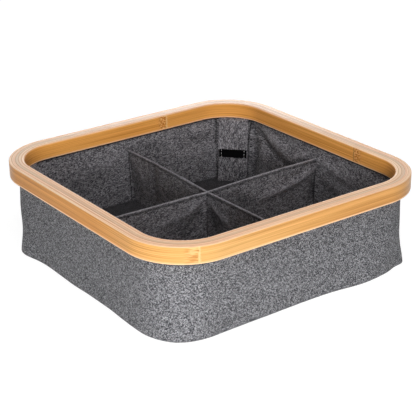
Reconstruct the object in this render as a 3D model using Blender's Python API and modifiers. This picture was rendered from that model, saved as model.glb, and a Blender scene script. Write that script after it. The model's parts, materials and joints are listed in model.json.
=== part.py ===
"""Bamboo organizer box: a bent bamboo rim that carries a soft cloth box with four compartments.

Metres, +Z up. The origin is the middle of the underside. -Y is the front, -X the left side.
In each corner a slat in a cloth pocket stands under the rim, and a cloth flap with
hook-and-loop tape holds it. With the flaps open the slats fold in and the rim comes down.
"""

import math

import bmesh
import bpy
from mathutils import Matrix, Vector

# Whole box
BOX_SIDE = 0.340
BOX_HEIGHT = 0.100
CORNER_RADIUS = 0.064
SEAT_GAP = 0.0003

# Bamboo rim, glued up from bent plies
RIM_HEIGHT = 0.018
PLY_THICKNESS = 0.0031
RIM_EDGE_RADIUS = 0.0012
GROOVE_DEPTH = 0.008

# Cloth and felt
SHELL_CLOTH = 0.0006
LINING_CLOTH = 0.0006
FELT_THICKNESS = 0.0012

# Outer cloth shell
SHELL_FOOT_INSET = 0.0085
SHELL_FOOT_CORNER_RADIUS = 0.050
BOTTOM_EDGE_RADIUS = 0.0045
SHELL_HEM_WIDTH = 0.009

# Floor
BOARD_THICKNESS = 0.004
BOARD_INSET = 0.015
FELT_FOOT_HEIGHT = 0.0075

# Lining: how far its cloth stands in from the rim's outer face
LINING_WAIST_DROP = 0.018
LINING_WAIST_INSET = 0.0164
LINING_WAIST_CORNER_RADIUS = 0.0476
LINING_FOOT_INSET = 0.0186
LINING_FOOT_CORNER_RADIUS = 0.044

# Cloth dividers
DIVIDER_THICKNESS = 0.0014
DIVIDER_DROP = 0.031
DIVIDER_SAG = 0.002
DIVIDER_END_GAP = 0.0005

# Corner straps
STRAP_WIDTH = 0.037
STRAP_OFF_CENTRE = 0.003
FLAP_LENGTH = 0.036
FLAP_HINGE_DROP = 0.0011
FLAP_CORNER_RADIUS = 0.001
TAPE_THICKNESS = 0.0005
LOOP_TAPE_HEIGHT = 0.015
LOOP_TAPE_SHOWN = 0.0084
HOOK_TAPE_HEIGHT = 0.010
TAPE_SIDE_MARGIN = 0.0035
TAPE_MARGIN = 0.001
SLAT_THICKNESS = 0.0015
SLAT_MARGIN = 0.0025
SLAT_CORNER_RADIUS = 0.004
SLAT_HEADROOM = 0.003
STAY_SEAM = 0.0012
STAY_SETBACK = 0.0186
STAY_CLEARANCE = 0.0005

# Fineness of the facets
CORNER_STEPS = 10
EDGE_STEPS = 4
BEVEL_SEGMENTS = 2
SAG_STEPS = 6
LEAN_STEPS = 40
STEEPEST_LEAN = math.radians(30)
WELD_DISTANCE = 0.00001

# Heights and insets that follow from the sizes
HALF_SIDE = BOX_SIDE / 2
RIM_BOTTOM = BOX_HEIGHT - RIM_HEIGHT
PLY_PITCH = PLY_THICKNESS + SEAT_GAP
GROOVE_INSET = 3 * PLY_PITCH
FELT_INSET_IN_WALL = SHELL_CLOTH + SEAT_GAP
LINING_INSET_IN_WALL = FELT_INSET_IN_WALL + FELT_THICKNESS + SEAT_GAP
WALL_THICKNESS = LINING_INSET_IN_WALL + LINING_CLOTH
INNER_PLY_INSET = GROOVE_INSET + WALL_THICKNESS + SEAT_GAP
WALL_TOP = RIM_BOTTOM + GROOVE_DEPTH - SEAT_GAP
BOARD_BOTTOM = SHELL_CLOTH + SEAT_GAP
FLOOR_BOTTOM = BOARD_BOTTOM + BOARD_THICKNESS + SEAT_GAP
FLOOR_TOP = FLOOR_BOTTOM + LINING_CLOTH
DIVIDER_TOP = BOX_HEIGHT - DIVIDER_DROP
SLAT_TOP = RIM_BOTTOM - SLAT_HEADROOM

CORNERS = {
    "back_right": math.radians(45),
    "back_left": math.radians(135),
    "front_left": math.radians(225),
    "front_right": math.radians(315),
}
SIDES = {
    "right": math.radians(0),
    "back": math.radians(90),
    "left": math.radians(180),
    "front": math.radians(270),
}

# name: (colour, roughness)
FINISHES = {
    "bamboo": ((0.62, 0.36, 0.15), 0.45),
    "shell_cloth": ((0.21, 0.21, 0.22), 0.95),
    "lining_cloth": ((0.13, 0.13, 0.14), 0.95),
    "felt": ((0.55, 0.54, 0.52), 1.0),
    "board": ((0.45, 0.40, 0.33), 0.9),
    "tape": ((0.006, 0.006, 0.007), 0.85),
}


def clear_scene():
    """Empties the scene that Blender opened with."""
    for old in list(bpy.data.objects):
        bpy.data.objects.remove(old, do_unlink=True)


def make_finish(name):
    """The Principled material of one finish."""
    colour, roughness = FINISHES[name]
    material = bpy.data.materials.new(name)
    material.use_nodes = True
    shader = material.node_tree.nodes["Principled BSDF"]
    shader.inputs["Base Color"].default_value = (*colour, 1)
    shader.inputs["Roughness"].default_value = roughness
    shader.inputs["Metallic"].default_value = 0
    return material


def add_node(name, mesh, finish, parent=None, location=(0, 0, 0), rotation=(0, 0, 0)):
    """One named piece of the box, with a material of its own finish."""
    node = bpy.data.objects.new(name, mesh)
    mesh.name = name
    mesh.materials.clear()
    mesh.materials.append(materials[finish])
    node.parent = parent
    node.location = location
    node.rotation_euler = rotation
    parts.objects.link(node)
    return node


def rounded_loop(inset, radius):
    """Corner arcs of a rounded square that lies inset from the rim's outer face."""
    centre = HALF_SIDE - inset - radius
    points = []
    for quarter in range(4):
        turn = quarter * math.pi / 2
        for step in range(CORNER_STEPS + 1):
            angle = step / CORNER_STEPS * math.pi / 2
            corner = Vector((centre + radius * math.cos(angle), centre + radius * math.sin(angle)))
            corner.rotate(Matrix.Rotation(turn, 2))
            points.append(corner)
    return points


def rounded_outline(width, low, high, radius, round_top):
    """Upright strip centred on x, from y low to y high, with its lower or all corners rounded."""
    half = width / 2
    corners = [(half - radius, low + radius, -90), (half - radius, high - radius, 0)]
    corners += [(radius - half, high - radius, 90), (radius - half, low + radius, 180)]
    points = []
    for number, (x, y, start) in enumerate(corners):
        at_top = number in (1, 2)
        if at_top and not round_top:
            points.append((math.copysign(half, x), high))
            continue
        for step in range(EDGE_STEPS + 1):
            angle = math.radians(start) + step / EDGE_STEPS * math.pi / 2
            points.append((x + radius * math.cos(angle), y + radius * math.sin(angle)))
    return points


def flat_mesh(name, outlines, thickness):
    """Filled outlines with a thickness, centred on their own plane."""
    curve = bpy.data.curves.new(name, "CURVE")
    curve.dimensions = "2D"
    curve.fill_mode = "BOTH"
    curve.extrude = thickness / 2
    for outline in outlines:
        spline = curve.splines.new("POLY")
        spline.points.add(len(outline) - 1)
        spline.use_cyclic_u = True
        for point, (x, y) in zip(spline.points, outline):
            point.co = (x, y, 0, 1)
    holder = bpy.data.objects.new(name + "_outline", curve)
    bpy.context.scene.collection.objects.link(holder)
    evaluated = holder.evaluated_get(bpy.context.evaluated_depsgraph_get())
    mesh = bpy.data.meshes.new_from_object(evaluated)
    bpy.data.objects.remove(holder, do_unlink=True)
    bpy.data.curves.remove(curve)
    weld = bmesh.new()
    weld.from_mesh(mesh)
    bmesh.ops.remove_doubles(weld, verts=weld.verts, dist=WELD_DISTANCE)
    weld.to_mesh(mesh)
    weld.free()
    return mesh


def band_mesh(name, sections):
    """Open wall through rounded squares, each (height, inset, corner radius), from the top down."""
    build = bmesh.new()
    rows = []
    for height, inset, radius in sections:
        rows.append([build.verts.new((x, y, height)) for x, y in rounded_loop(inset, radius)])
    count = len(rows[0])
    for upper, lower in zip(rows, rows[1:]):
        for i in range(count):
            j = (i + 1) % count
            build.faces.new((upper[i], lower[i], lower[j], upper[j]))
    mesh = bpy.data.meshes.new(name)
    build.to_mesh(mesh)
    build.free()
    mesh.shade_smooth()
    return mesh


def thicken(node, thickness):
    """Gives an open wall its thickness on the inner side."""
    solid = node.modifiers.new("thickness", "SOLIDIFY")
    solid.thickness = thickness
    solid.offset = -1
    solid.use_even_offset = True


def round_loop(node, inset):
    """Rounds the upper and lower edges of a ply along the outline that lies at this inset."""
    mesh = node.data
    weights = mesh.attributes.new("bevel_weight_edge", "FLOAT", "EDGE")
    outline = rounded_loop(inset, CORNER_RADIUS - inset)
    on_loop = []
    for vertex in mesh.vertices:
        flat = vertex.co.to_2d()
        on_loop.append(any((flat - point).length < WELD_DISTANCE for point in outline))
    for edge in mesh.edges:
        start, end = (mesh.vertices[index].co for index in edge.vertices)
        level = abs(start.z - end.z) < WELD_DISTANCE
        if level and all(on_loop[index] for index in edge.vertices):
            weights.data[edge.index].value = 1
    bevel = node.modifiers.new("rounded_edge", "BEVEL")
    bevel.limit_method = "WEIGHT"
    bevel.width = RIM_EDGE_RADIUS
    bevel.segments = BEVEL_SEGMENTS


def make_ply(name, inset, thickness, bottom):
    """One bent bamboo ply of the rim, from its bottom up to the rim's top."""
    outer = rounded_loop(inset, CORNER_RADIUS - inset)
    inner = rounded_loop(inset + thickness, CORNER_RADIUS - inset - thickness)
    mesh = flat_mesh(name, [outer, inner], BOX_HEIGHT - bottom)
    return add_node(name, mesh, "bamboo", location=(0, 0, (BOX_HEIGHT + bottom) / 2))


def make_rim():
    """Five plies: the fourth is short, so that the cloth wall tucks into the groove below it."""
    outer = make_ply("rim_ply_outer", 0, PLY_THICKNESS, RIM_BOTTOM)
    round_loop(outer, 0)
    make_ply("rim_ply_second", PLY_PITCH, PLY_THICKNESS, RIM_BOTTOM)
    make_ply("rim_ply_middle", 2 * PLY_PITCH, PLY_THICKNESS, RIM_BOTTOM)
    make_ply("rim_ply_groove", GROOVE_INSET, WALL_THICKNESS, RIM_BOTTOM + GROOVE_DEPTH)
    inner = make_ply("rim_ply_inner", INNER_PLY_INSET, PLY_THICKNESS, RIM_BOTTOM)
    round_loop(inner, INNER_PLY_INSET + PLY_THICKNESS)


def shell_sections(depth, lowest):
    """Sections of the wall that lies this deep inside the shell's outer face, down to lowest."""
    top = (GROOVE_INSET + depth, CORNER_RADIUS - GROOVE_INSET - depth)
    foot = (SHELL_FOOT_INSET + depth, SHELL_FOOT_CORNER_RADIUS - depth)
    return [(WALL_TOP, *top), (RIM_BOTTOM, *top), (lowest, *foot)]


def make_shell():
    """Outer cloth: a side band turned under at its foot, and a bottom panel inside that hem."""
    sections = shell_sections(0, BOTTOM_EDGE_RADIUS)
    for step in range(1, EDGE_STEPS + 1):
        angle = step / EDGE_STEPS * math.pi / 2
        turned = BOTTOM_EDGE_RADIUS * (1 - math.cos(angle))
        height = BOTTOM_EDGE_RADIUS * (1 - math.sin(angle))
        sections.append((height, SHELL_FOOT_INSET + turned, SHELL_FOOT_CORNER_RADIUS - turned))
    hem = BOTTOM_EDGE_RADIUS + SHELL_HEM_WIDTH
    sections.append((0, SHELL_FOOT_INSET + hem, SHELL_FOOT_CORNER_RADIUS - hem))
    band = add_node("shell_side_band", band_mesh("shell_side_band", sections), "shell_cloth")
    thicken(band, SHELL_CLOTH)
    inset = SHELL_FOOT_INSET + hem + SEAT_GAP
    outline = rounded_loop(inset, SHELL_FOOT_CORNER_RADIUS - hem - SEAT_GAP)
    panel = flat_mesh("shell_bottom_panel", [outline], SHELL_CLOTH)
    add_node("shell_bottom_panel", panel, "shell_cloth", location=(0, 0, SHELL_CLOTH / 2))


def make_felt():
    """Felt band that stiffens the wall between shell and lining."""
    sections = shell_sections(FELT_INSET_IN_WALL, FELT_FOOT_HEIGHT)
    band = add_node("wall_felt", band_mesh("wall_felt", sections), "felt")
    thicken(band, FELT_THICKNESS)


def lining_sections():
    """Outer face of the lining: down out of the groove, then drawn in towards the floor."""
    top = GROOVE_INSET + LINING_INSET_IN_WALL
    return [
        (WALL_TOP, top, CORNER_RADIUS - top),
        (RIM_BOTTOM, top, CORNER_RADIUS - top),
        (RIM_BOTTOM - LINING_WAIST_DROP, LINING_WAIST_INSET, LINING_WAIST_CORNER_RADIUS),
        (FLOOR_BOTTOM, LINING_FOOT_INSET, LINING_FOOT_CORNER_RADIUS),
    ]


def lining_at(height):
    """Inset and corner radius of the lining's inner face at a height."""
    sections = lining_sections()
    for (high, inset_high, radius_high), (low, inset_low, radius_low) in zip(sections, sections[1:]):
        if height >= low:
            break
    share = min(max((high - height) / (high - low), 0), 1)
    inset = inset_high + share * (inset_low - inset_high) + LINING_CLOTH
    radius = radius_high + share * (radius_low - radius_high) - LINING_CLOTH
    return inset, radius


def make_lining():
    """Inner cloth: a side band, and a floor panel laid on the board."""
    band = add_node("lining_side_band", band_mesh("lining_side_band", lining_sections()), "lining_cloth")
    thicken(band, LINING_CLOTH)
    inset, radius = lining_at(FLOOR_BOTTOM)
    outline = rounded_loop(inset + SEAT_GAP, radius - SEAT_GAP)
    panel = flat_mesh("lining_floor_panel", [outline], LINING_CLOTH)
    add_node("lining_floor_panel", panel, "lining_cloth", location=(0, 0, (FLOOR_BOTTOM + FLOOR_TOP) / 2))


def make_base_board():
    """Stiff board between the two cloth bottoms."""
    radius = SHELL_FOOT_CORNER_RADIUS + SHELL_FOOT_INSET - BOARD_INSET
    mesh = flat_mesh("base_board", [rounded_loop(BOARD_INSET, radius)], BOARD_THICKNESS)
    add_node("base_board", mesh, "board", location=(0, 0, BOARD_BOTTOM + BOARD_THICKNESS / 2))


def make_dividers():
    """Four arms of doubled cloth, sewn to the lining and to each other in the middle."""
    foot = FLOOR_TOP + SEAT_GAP
    waist = min(RIM_BOTTOM - LINING_WAIST_DROP, DIVIDER_TOP)
    wall = [HALF_SIDE - lining_at(height)[0] - DIVIDER_END_GAP for height in (foot, waist, DIVIDER_TOP)]
    for side, azimuth in SIDES.items():
        meet_in_middle = side in ("front", "back")
        start = SEAT_GAP / 2 if meet_in_middle else DIVIDER_THICKNESS / 2 + SEAT_GAP
        outline = [(start, foot), (wall[0], foot)]
        if waist < DIVIDER_TOP:
            outline.append((wall[1], waist))
        for step in range(SAG_STEPS + 1):
            share = step / SAG_STEPS
            along = wall[2] + share * (start - wall[2])
            outline.append((along, DIVIDER_TOP - DIVIDER_SAG * share * share))
        mesh = flat_mesh("divider_" + side, [outline], DIVIDER_THICKNESS)
        add_node("divider_" + side, mesh, "lining_cloth", rotation=(math.pi / 2, 0, azimuth))


def corner_reach(inset, radius, across):
    """Distance from the box's middle to a rounded corner, along the diagonal, this far across it."""
    middle = math.sqrt(2) * (HALF_SIDE - inset - radius)
    return middle + math.sqrt(max(radius * radius - across * across, 0))


def stay_pivot():
    """Distance along the diagonal and height of the stay's bottom seam."""
    inset, radius = lining_at(FLOOR_TOP)
    return corner_reach(inset, radius, 0) - STAY_SETBACK, FLOOR_TOP + SEAT_GAP


def flap_hinge_up(lean):
    """How far up the stay the flap's hinge lies."""
    height = RIM_BOTTOM - FLAP_HINGE_DROP - stay_pivot()[1]
    return (height + FLAP_PLANE * math.sin(lean)) / math.cos(lean)


def pocket_top(lean):
    """How far up the stay its pocket reaches: just past the loop tape's upper edge."""
    return flap_hinge_up(lean) - FLAP_LENGTH - LOOP_TAPE_SHOWN + LOOP_TAPE_HEIGHT + TAPE_MARGIN


def slat_up(lean, height):
    """How far up the stay the slat passes a height."""
    return (height - stay_pivot()[1]) / math.cos(lean) + SLAT_PLANE * math.tan(lean)


def clears_lining(lean):
    """Whether the pocket's and the slat's back edges stay clear of the lining's corner."""
    foot, base = stay_pivot()
    pocket = (POCKET_BACK_PLANE + LINING_CLOTH / 2, pocket_top(lean), STRAP_WIDTH / 2)
    slat_back = SLAT_PLANE + SLAT_THICKNESS / 2
    slat_half = STRAP_WIDTH / 2 - SLAT_MARGIN
    slat_end = (slat_back, slat_up(lean, SLAT_TOP), slat_half)
    slat_waist = (slat_back, slat_up(lean, RIM_BOTTOM - LINING_WAIST_DROP), slat_half)
    for back, up, half_width in (pocket, slat_end, slat_waist):
        distance = foot + back * math.cos(lean) + up * math.sin(lean)
        height = base - back * math.sin(lean) + up * math.cos(lean)
        inset, radius = lining_at(height)
        reach = corner_reach(inset, radius, half_width + abs(STRAP_OFF_CENTRE))
        if distance > reach - STAY_CLEARANCE:
            return False
    return True


def stay_lean():
    """The furthest that the stay leans out before it meets the lining."""
    upright, leaning = 0, STEEPEST_LEAN
    for _ in range(LEAN_STEPS):
        middle = (upright + leaning) / 2
        if clears_lining(middle):
            upright = middle
        else:
            leaning = middle
    return upright


# Layers of a corner strap, as the middle of each, outwards from the pocket's front face
POCKET_FRONT_PLANE = LINING_CLOTH / 2
SLAT_PLANE = LINING_CLOTH + SEAT_GAP + SLAT_THICKNESS / 2
POCKET_BACK_PLANE = SLAT_PLANE + SLAT_THICKNESS / 2 + SEAT_GAP + LINING_CLOTH / 2
LOOP_PLANE = -SEAT_GAP - TAPE_THICKNESS / 2
HOOK_PLANE = LOOP_PLANE - TAPE_THICKNESS - SEAT_GAP
FLAP_PLANE = HOOK_PLANE - TAPE_THICKNESS / 2 - SEAT_GAP - LINING_CLOTH / 2


def add_empty(name, location, rotation):
    """Pivot that carries the pieces of one moving body."""
    empty = bpy.data.objects.new(name, None)
    empty.location = location
    empty.rotation_euler = rotation
    parts.objects.link(empty)
    return empty


def add_strip(name, outline, thickness, finish, pivot, plane):
    """Flat strip across a corner, standing in the pivot's own upright plane."""
    mesh = flat_mesh(name, [outline], thickness)
    turn = (math.pi / 2, 0, math.pi / 2)
    add_node(name, mesh, finish, parent=pivot, location=(plane, 0, 0), rotation=turn)


def make_stay(corner, azimuth, lean):
    """Slat in its pocket, with the loop tape: folds inwards about its bottom seam."""
    foot, base = stay_pivot()
    out = Vector((math.cos(azimuth), math.sin(azimuth), 0))
    across = Vector((-math.sin(azimuth), math.cos(azimuth), 0))
    place = out * foot - across * STRAP_OFF_CENTRE + Vector((0, 0, base))
    pivot = add_empty("stay_pivot_" + corner, place, (0, lean, azimuth))
    top = pocket_top(lean)
    cloth = rounded_outline(STRAP_WIDTH, STAY_SEAM, top, FLAP_CORNER_RADIUS, True)
    front = "stay_pocket_front_" + corner
    add_strip(front, cloth, LINING_CLOTH, "lining_cloth", pivot, POCKET_FRONT_PLANE)
    back = "stay_pocket_back_" + corner
    add_strip(back, cloth, LINING_CLOTH, "lining_cloth", pivot, POCKET_BACK_PLANE)
    width = STRAP_WIDTH - 2 * SLAT_MARGIN
    slat = rounded_outline(width, STAY_SEAM, slat_up(lean, SLAT_TOP), SLAT_CORNER_RADIUS, True)
    add_strip("stay_slat_" + corner, slat, SLAT_THICKNESS, "bamboo", pivot, SLAT_PLANE)
    width = STRAP_WIDTH - 2 * TAPE_SIDE_MARGIN
    high = top - TAPE_MARGIN
    tape = rounded_outline(width, high - LOOP_TAPE_HEIGHT, high, TAPE_THICKNESS, True)
    add_strip("stay_loop_tape_" + corner, tape, TAPE_THICKNESS, "tape", pivot, LOOP_PLANE)
    return pivot


def make_flap(corner, azimuth, lean):
    """Cloth flap with the hook tape on its back: hinges under the rim and opens inwards."""
    foot, base = stay_pivot()
    up = flap_hinge_up(lean)
    distance = foot + FLAP_PLANE * math.cos(lean) + up * math.sin(lean)
    height = base - FLAP_PLANE * math.sin(lean) + up * math.cos(lean)
    out = Vector((math.cos(azimuth), math.sin(azimuth), 0))
    across = Vector((-math.sin(azimuth), math.cos(azimuth), 0))
    place = out * distance - across * STRAP_OFF_CENTRE + Vector((0, 0, height))
    pivot = add_empty("flap_pivot_" + corner, place, (0, lean, azimuth))
    cloth = rounded_outline(STRAP_WIDTH, -FLAP_LENGTH, 0, FLAP_CORNER_RADIUS, False)
    add_strip("flap_cloth_" + corner, cloth, LINING_CLOTH, "lining_cloth", pivot, 0)
    width = STRAP_WIDTH - 2 * TAPE_SIDE_MARGIN
    low = TAPE_MARGIN - FLAP_LENGTH
    tape = rounded_outline(width, low, low + HOOK_TAPE_HEIGHT, TAPE_THICKNESS, True)
    name = "flap_hook_tape_" + corner
    add_strip(name, tape, TAPE_THICKNESS, "tape", pivot, HOOK_PLANE - FLAP_PLANE)
    return pivot


def main():
    make_rim()
    make_shell()
    make_felt()
    make_lining()
    make_base_board()
    make_dividers()
    lean = stay_lean()
    print("stays lean out by %.2f degrees" % math.degrees(lean))
    for corner, azimuth in CORNERS.items():
        for pivot in (make_stay(corner, azimuth, lean), make_flap(corner, azimuth, lean)):
            x, y, z = pivot.location
            print("%s at %.6f %.6f %.6f" % (pivot.name, x, y, z))


clear_scene()
parts = bpy.data.collections.new("bamboo_organizer_box")
bpy.context.scene.collection.children.link(parts)
materials = {name: make_finish(name) for name in FINISHES}
main()
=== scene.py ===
"""Looks of the bamboo organizer box: bent bamboo rim, melange cloth, soft dividers and corner straps.

Metres, +Z up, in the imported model's own frame: the origin is the middle of the underside, -Y is the
front and -X the left side. Going round the box, places are counted in metres along a path that
starts in the middle of the right side and runs over the back.
"""

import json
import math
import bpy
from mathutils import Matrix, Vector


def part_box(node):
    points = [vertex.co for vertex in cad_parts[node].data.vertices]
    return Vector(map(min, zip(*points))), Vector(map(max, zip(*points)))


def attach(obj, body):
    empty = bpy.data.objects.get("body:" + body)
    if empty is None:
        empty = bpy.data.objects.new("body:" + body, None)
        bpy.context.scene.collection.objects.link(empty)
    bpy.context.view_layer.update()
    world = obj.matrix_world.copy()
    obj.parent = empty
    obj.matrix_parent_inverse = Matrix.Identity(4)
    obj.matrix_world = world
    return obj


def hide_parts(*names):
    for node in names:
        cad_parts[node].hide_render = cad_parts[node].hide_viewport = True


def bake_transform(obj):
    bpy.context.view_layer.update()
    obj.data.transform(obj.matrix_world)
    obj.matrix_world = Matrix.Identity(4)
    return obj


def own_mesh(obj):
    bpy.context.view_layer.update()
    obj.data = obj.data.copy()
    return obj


bl_info = {
    "name": "Bamboo Organizer Box",
    "version": (1, 0, 0),
    "blender": (4, 5, 0),
    "location": "3D View > Sidebar > Organizer Box",
    "description": "Dresses the frame of a bamboo organizer box in bamboo, cloth, tape and thread",
    "category": "Object",
}

import bpy
import numpy as np
from bpy.props import FloatProperty, FloatVectorProperty, PointerProperty
from mathutils import Matrix, Vector, noise

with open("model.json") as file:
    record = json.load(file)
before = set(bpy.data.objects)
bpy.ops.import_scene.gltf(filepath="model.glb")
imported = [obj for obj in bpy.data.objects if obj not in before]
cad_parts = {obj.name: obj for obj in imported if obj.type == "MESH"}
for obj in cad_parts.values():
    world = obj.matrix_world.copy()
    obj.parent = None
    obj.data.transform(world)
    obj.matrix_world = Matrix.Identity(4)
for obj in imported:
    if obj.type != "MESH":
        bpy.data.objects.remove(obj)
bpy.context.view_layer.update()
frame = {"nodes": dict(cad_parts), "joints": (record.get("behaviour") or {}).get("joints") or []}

# Places that the frame gives
PLY_NAMES = ("outer", "second", "middle", "groove", "inner")
PLY_NODES = tuple("rim_ply_" + name for name in PLY_NAMES)
RIM_LOW, RIM_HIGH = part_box("rim_ply_outer")
HALF_SIDE = RIM_HIGH.x
RIM_TOP = RIM_HIGH.z
RIM_BOTTOM = RIM_LOW.z
PLY_INSETS = [HALF_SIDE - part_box(node)[1].x for node in PLY_NODES]
SHELL_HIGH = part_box("shell_side_band")[1]
LINING_LOW, LINING_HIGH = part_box("lining_side_band")
FLOOR_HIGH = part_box("lining_floor_panel")[1]
DIVIDER_LOW, DIVIDER_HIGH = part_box("divider_right")
CORNERS = ("back_right", "back_left", "front_left", "front_right")
SIDES = {"right": 0, "back": 90, "left": 180, "front": 270}
JOINTS = {joint["name"]: joint for joint in frame["joints"]}


def linear(hex_code):
    """An sRGB hex colour as the linear one that a shader works with."""
    channels = [int(hex_code[at:at + 2], 16) / 255 for at in (1, 3, 5)]
    return tuple(c / 12.92 if c <= 0.04045 else ((c + 0.055) / 1.055) ** 2.4 for c in channels)


def size(name, default, description, unit="LENGTH"):
    """A size that a user may change."""
    return FloatProperty(name=name, default=default, description=description, unit=unit, precision=5)


def power(name, default, description):
    """The power of a lamp."""
    return FloatProperty(name=name, default=default, description=description, unit="POWER")


def colour(name, default, description):
    """A colour that a user may change."""
    return FloatVectorProperty(
        name=name, default=linear(default), description=description, subtype="COLOR", min=0, max=1)


class RimLooks(bpy.types.PropertyGroup):
    """Sizes and colours of the bamboo rim."""

    corner_radius: size("Corner Radius", 0.064, "Radius of the rim's outer corners")
    ply_thickness: size("Ply Thickness", 0.0031, "Thickness of one bent ply")
    glue_line: size("Glue Line", 0.00012, "Width of the line between two plies")
    edge_round: size("Edge Rounding", 0.0016, "Rounding of the rim's outer and inner edges")
    ply_round: size("Ply Rounding", 0.00025, "Rounding of each ply along its glue lines")
    spacing: size("Facet Length", 0.003, "Length of a facet along the rim")
    face: colour("Bamboo Face", "#ECA04A", "Flat face of the bamboo strips")
    edge: colour("Bamboo Edge", "#FFC99B", "Edge grain that shows on top of the rim")
    knuckle: colour("Knuckle", "#BE7030", "Dark fibres beside a knuckle")
    ring: colour("Knuckle Ring", "#F7D59B", "Pale ring of a knuckle")
    # Painted highlight: how much lighter in each colour the outer ply is made where the light falls on it
    highlight_paleness: FloatVectorProperty(
        name="Paleness", default=(1.02, 1.34, 2.3, 1.0), size=4,
        description="How much lighter in each colour the palest stretches of bamboo are")


class ClothLooks(bpy.types.PropertyGroup):
    """Sizes and colours of the shell, the lining and the dividers."""

    cloth: size("Cloth", 0.0006, "Thickness of the cloth")
    spacing: size("Facet Length", 0.0032, "Length of a facet along the cloth")
    shell_foot_radius: size("Shell Foot Radius", 0.050, "Corner radius of the shell at its foot")
    shell_turn: size("Shell Turn", 0.0016, "Rounding of the shell's lower edge")
    shell_wave: size("Shell Wave", 0.0007, "How far the outer cloth swells and sinks")
    waist_drop: size("Waist Drop", 0.018, "How far under the rim the lining meets its waist")
    waist_inset: size("Waist Inset", 0.0164, "How far in from the rim's face the lining's waist lies")
    waist_radius: size("Waist Radius", 0.0476, "Corner radius of the lining's waist")
    foot_radius: size("Lining Foot Radius", 0.044, "Corner radius of the lining at the floor")
    divider_half: size("Divider Half", 0.0008, "Half the thickness of a divider's doubled cloth")
    hem_half: size("Hem Half", 0.00115, "Half the thickness of a divider's top hem")
    hem_depth: size("Hem Depth", 0.0027, "How far under the top the hem is stitched down")
    thread_pitch: size("Thread Pitch", 0.00052, "Distance from thread to thread in the weave")
    shell_light: colour("Shell Light Yarn", "#ABABAE", "Lightest yarn of the outer cloth")
    shell_mid: colour("Shell Middle Yarn", "#616165", "Usual yarn of the outer cloth")
    shell_dark: colour("Shell Dark Yarn", "#28292C", "Darkest yarn of the outer cloth")
    lining_light: colour("Lining Light Yarn", "#9B999D", "Lightest yarn of the lining")
    lining_mid: colour("Lining Middle Yarn", "#5D5B5F", "Usual yarn of the lining")
    lining_dark: colour("Lining Dark Yarn", "#262529", "Darkest yarn of the lining")
    # Painted shade: the lining's floor has darker yarns than the lining, for the shade deep in the box
    shaded_floor_light: colour("Floor Light Yarn", "#413F43", "Lightest yarn of the lining's floor")
    shaded_floor_mid: colour("Floor Middle Yarn", "#262528", "Usual yarn of the lining's floor")
    shaded_floor_dark: colour("Floor Dark Yarn", "#141316", "Darkest yarn of the lining's floor")


class StrapLooks(bpy.types.PropertyGroup):
    """Sizes of the corner straps, their tapes and their seams."""

    flap_thickness: size("Flap Thickness", 0.0010, "Thickness of the hanging strap")
    flap_tuck: size("Flap Tuck", 0.0070, "How far the strap reaches out under the rim")
    stitch_length: size("Stitch Length", 0.0024, "Length of one stitch")
    stitch_pitch: size("Stitch Pitch", 0.0032, "Distance from stitch to stitch")
    stitch_width: size("Stitch Width", 0.0005, "Thickness of the sewing thread")
    thread: colour("Thread", "#6F6D72", "Sewing thread of the cloth")
    tape_thread: colour("Tape Thread", "#C9C9CC", "Paler sewing thread of the tapes")


class StageLooks(bpy.types.PropertyGroup):
    """The floor, the lamps and the camera."""

    floor_side: size("Floor Side", 12.0, "Side of the pale floor")
    focal_length: FloatProperty(name="Focal Length", default=108.34, description="Lens of the camera in mm")
    azimuth: size("Azimuth", math.radians(-36.2254), "Where the camera stands round the box", "ROTATION")
    elevation: size("Elevation", math.radians(23.1834), "How high the camera stands", "ROTATION")
    roll: size("Roll", math.radians(-0.6082), "How far the camera is turned about its own axis", "ROTATION")
    distance: size("Distance", 1.323059, "Distance from the camera to the middle of the rim's top")
    aside: size("Aside", 0.000612, "How far the camera stands to the right of the box's middle")
    below: size("Below", 0.048195, "How far the camera stands lower than in line with the box's middle")
    key: power("Key Lamp", 8.1, "Power of the large lamp in front")
    corner: power("Corner Lamp", 4.4, "Power of the low lamp at the near corner")
    left: power("Left Lamp", 2.6, "Power of the low lamp at the left")
    right: power("Right Lamp", 0.5, "Power of the lamp at the right of the key")
    top: power("Top Lamp", 7.5, "Power of the lamp high up in front")
    back: power("Back Lamp", 18.5, "Power of the long narrow lamp behind, which glints on the rim")
    rear: power("Rear Lamp", 12.0, "Power of the low lamp that lights the box's far sides")
    ambient: FloatProperty(name="Ambient", default=0.0, description="Light that comes from all round")


def feed(tree, node, feeds):
    """Feeds a node's inputs by name or number: with a value, or with a node or socket to link in."""
    for name, given in feeds.items():
        sockets = [socket for socket in node.inputs if socket.enabled]
        if isinstance(name, str):
            sockets = [socket for socket in sockets if socket.name == name]
            name = 0
        if isinstance(given, bpy.types.Node):
            given = next(socket for socket in given.outputs if socket.enabled)
        if isinstance(given, bpy.types.NodeSocket):
            tree.links.new(given, sockets[name])
        else:
            sockets[name].default_value = given


def add_node(tree, kind, feeds=None, **settings):
    """One node with its settings and what it is fed."""
    node = tree.nodes.new(kind)
    for name, value in settings.items():
        setattr(node, name, value)
    feed(tree, node, feeds or {})
    return node


def reckon(tree, operation, *values, clamped=False):
    """A number worked out from one to three others."""
    return add_node(tree, "ShaderNodeMath", dict(enumerate(values)), operation=operation, use_clamp=clamped)


def blend(tree, share, first, second, kind="RGBA", way="MIX"):
    """A colour, or of another kind a number, between two."""
    return add_node(tree, "ShaderNodeMix", {
        "Factor": share, "A": first, "B": second}, data_type=kind, blend_type=way)


def remap(tree, value, old, new=(0, 1), smooth=False):
    """A number carried over from its old range to a new one, and held inside it."""
    return add_node(tree, "ShaderNodeMapRange", {
        "Value": value, "From Min": old[0], "From Max": old[1], "To Min": new[0], "To Max": new[1]},
        interpolation_type="SMOOTHSTEP" if smooth else "LINEAR")


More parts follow.
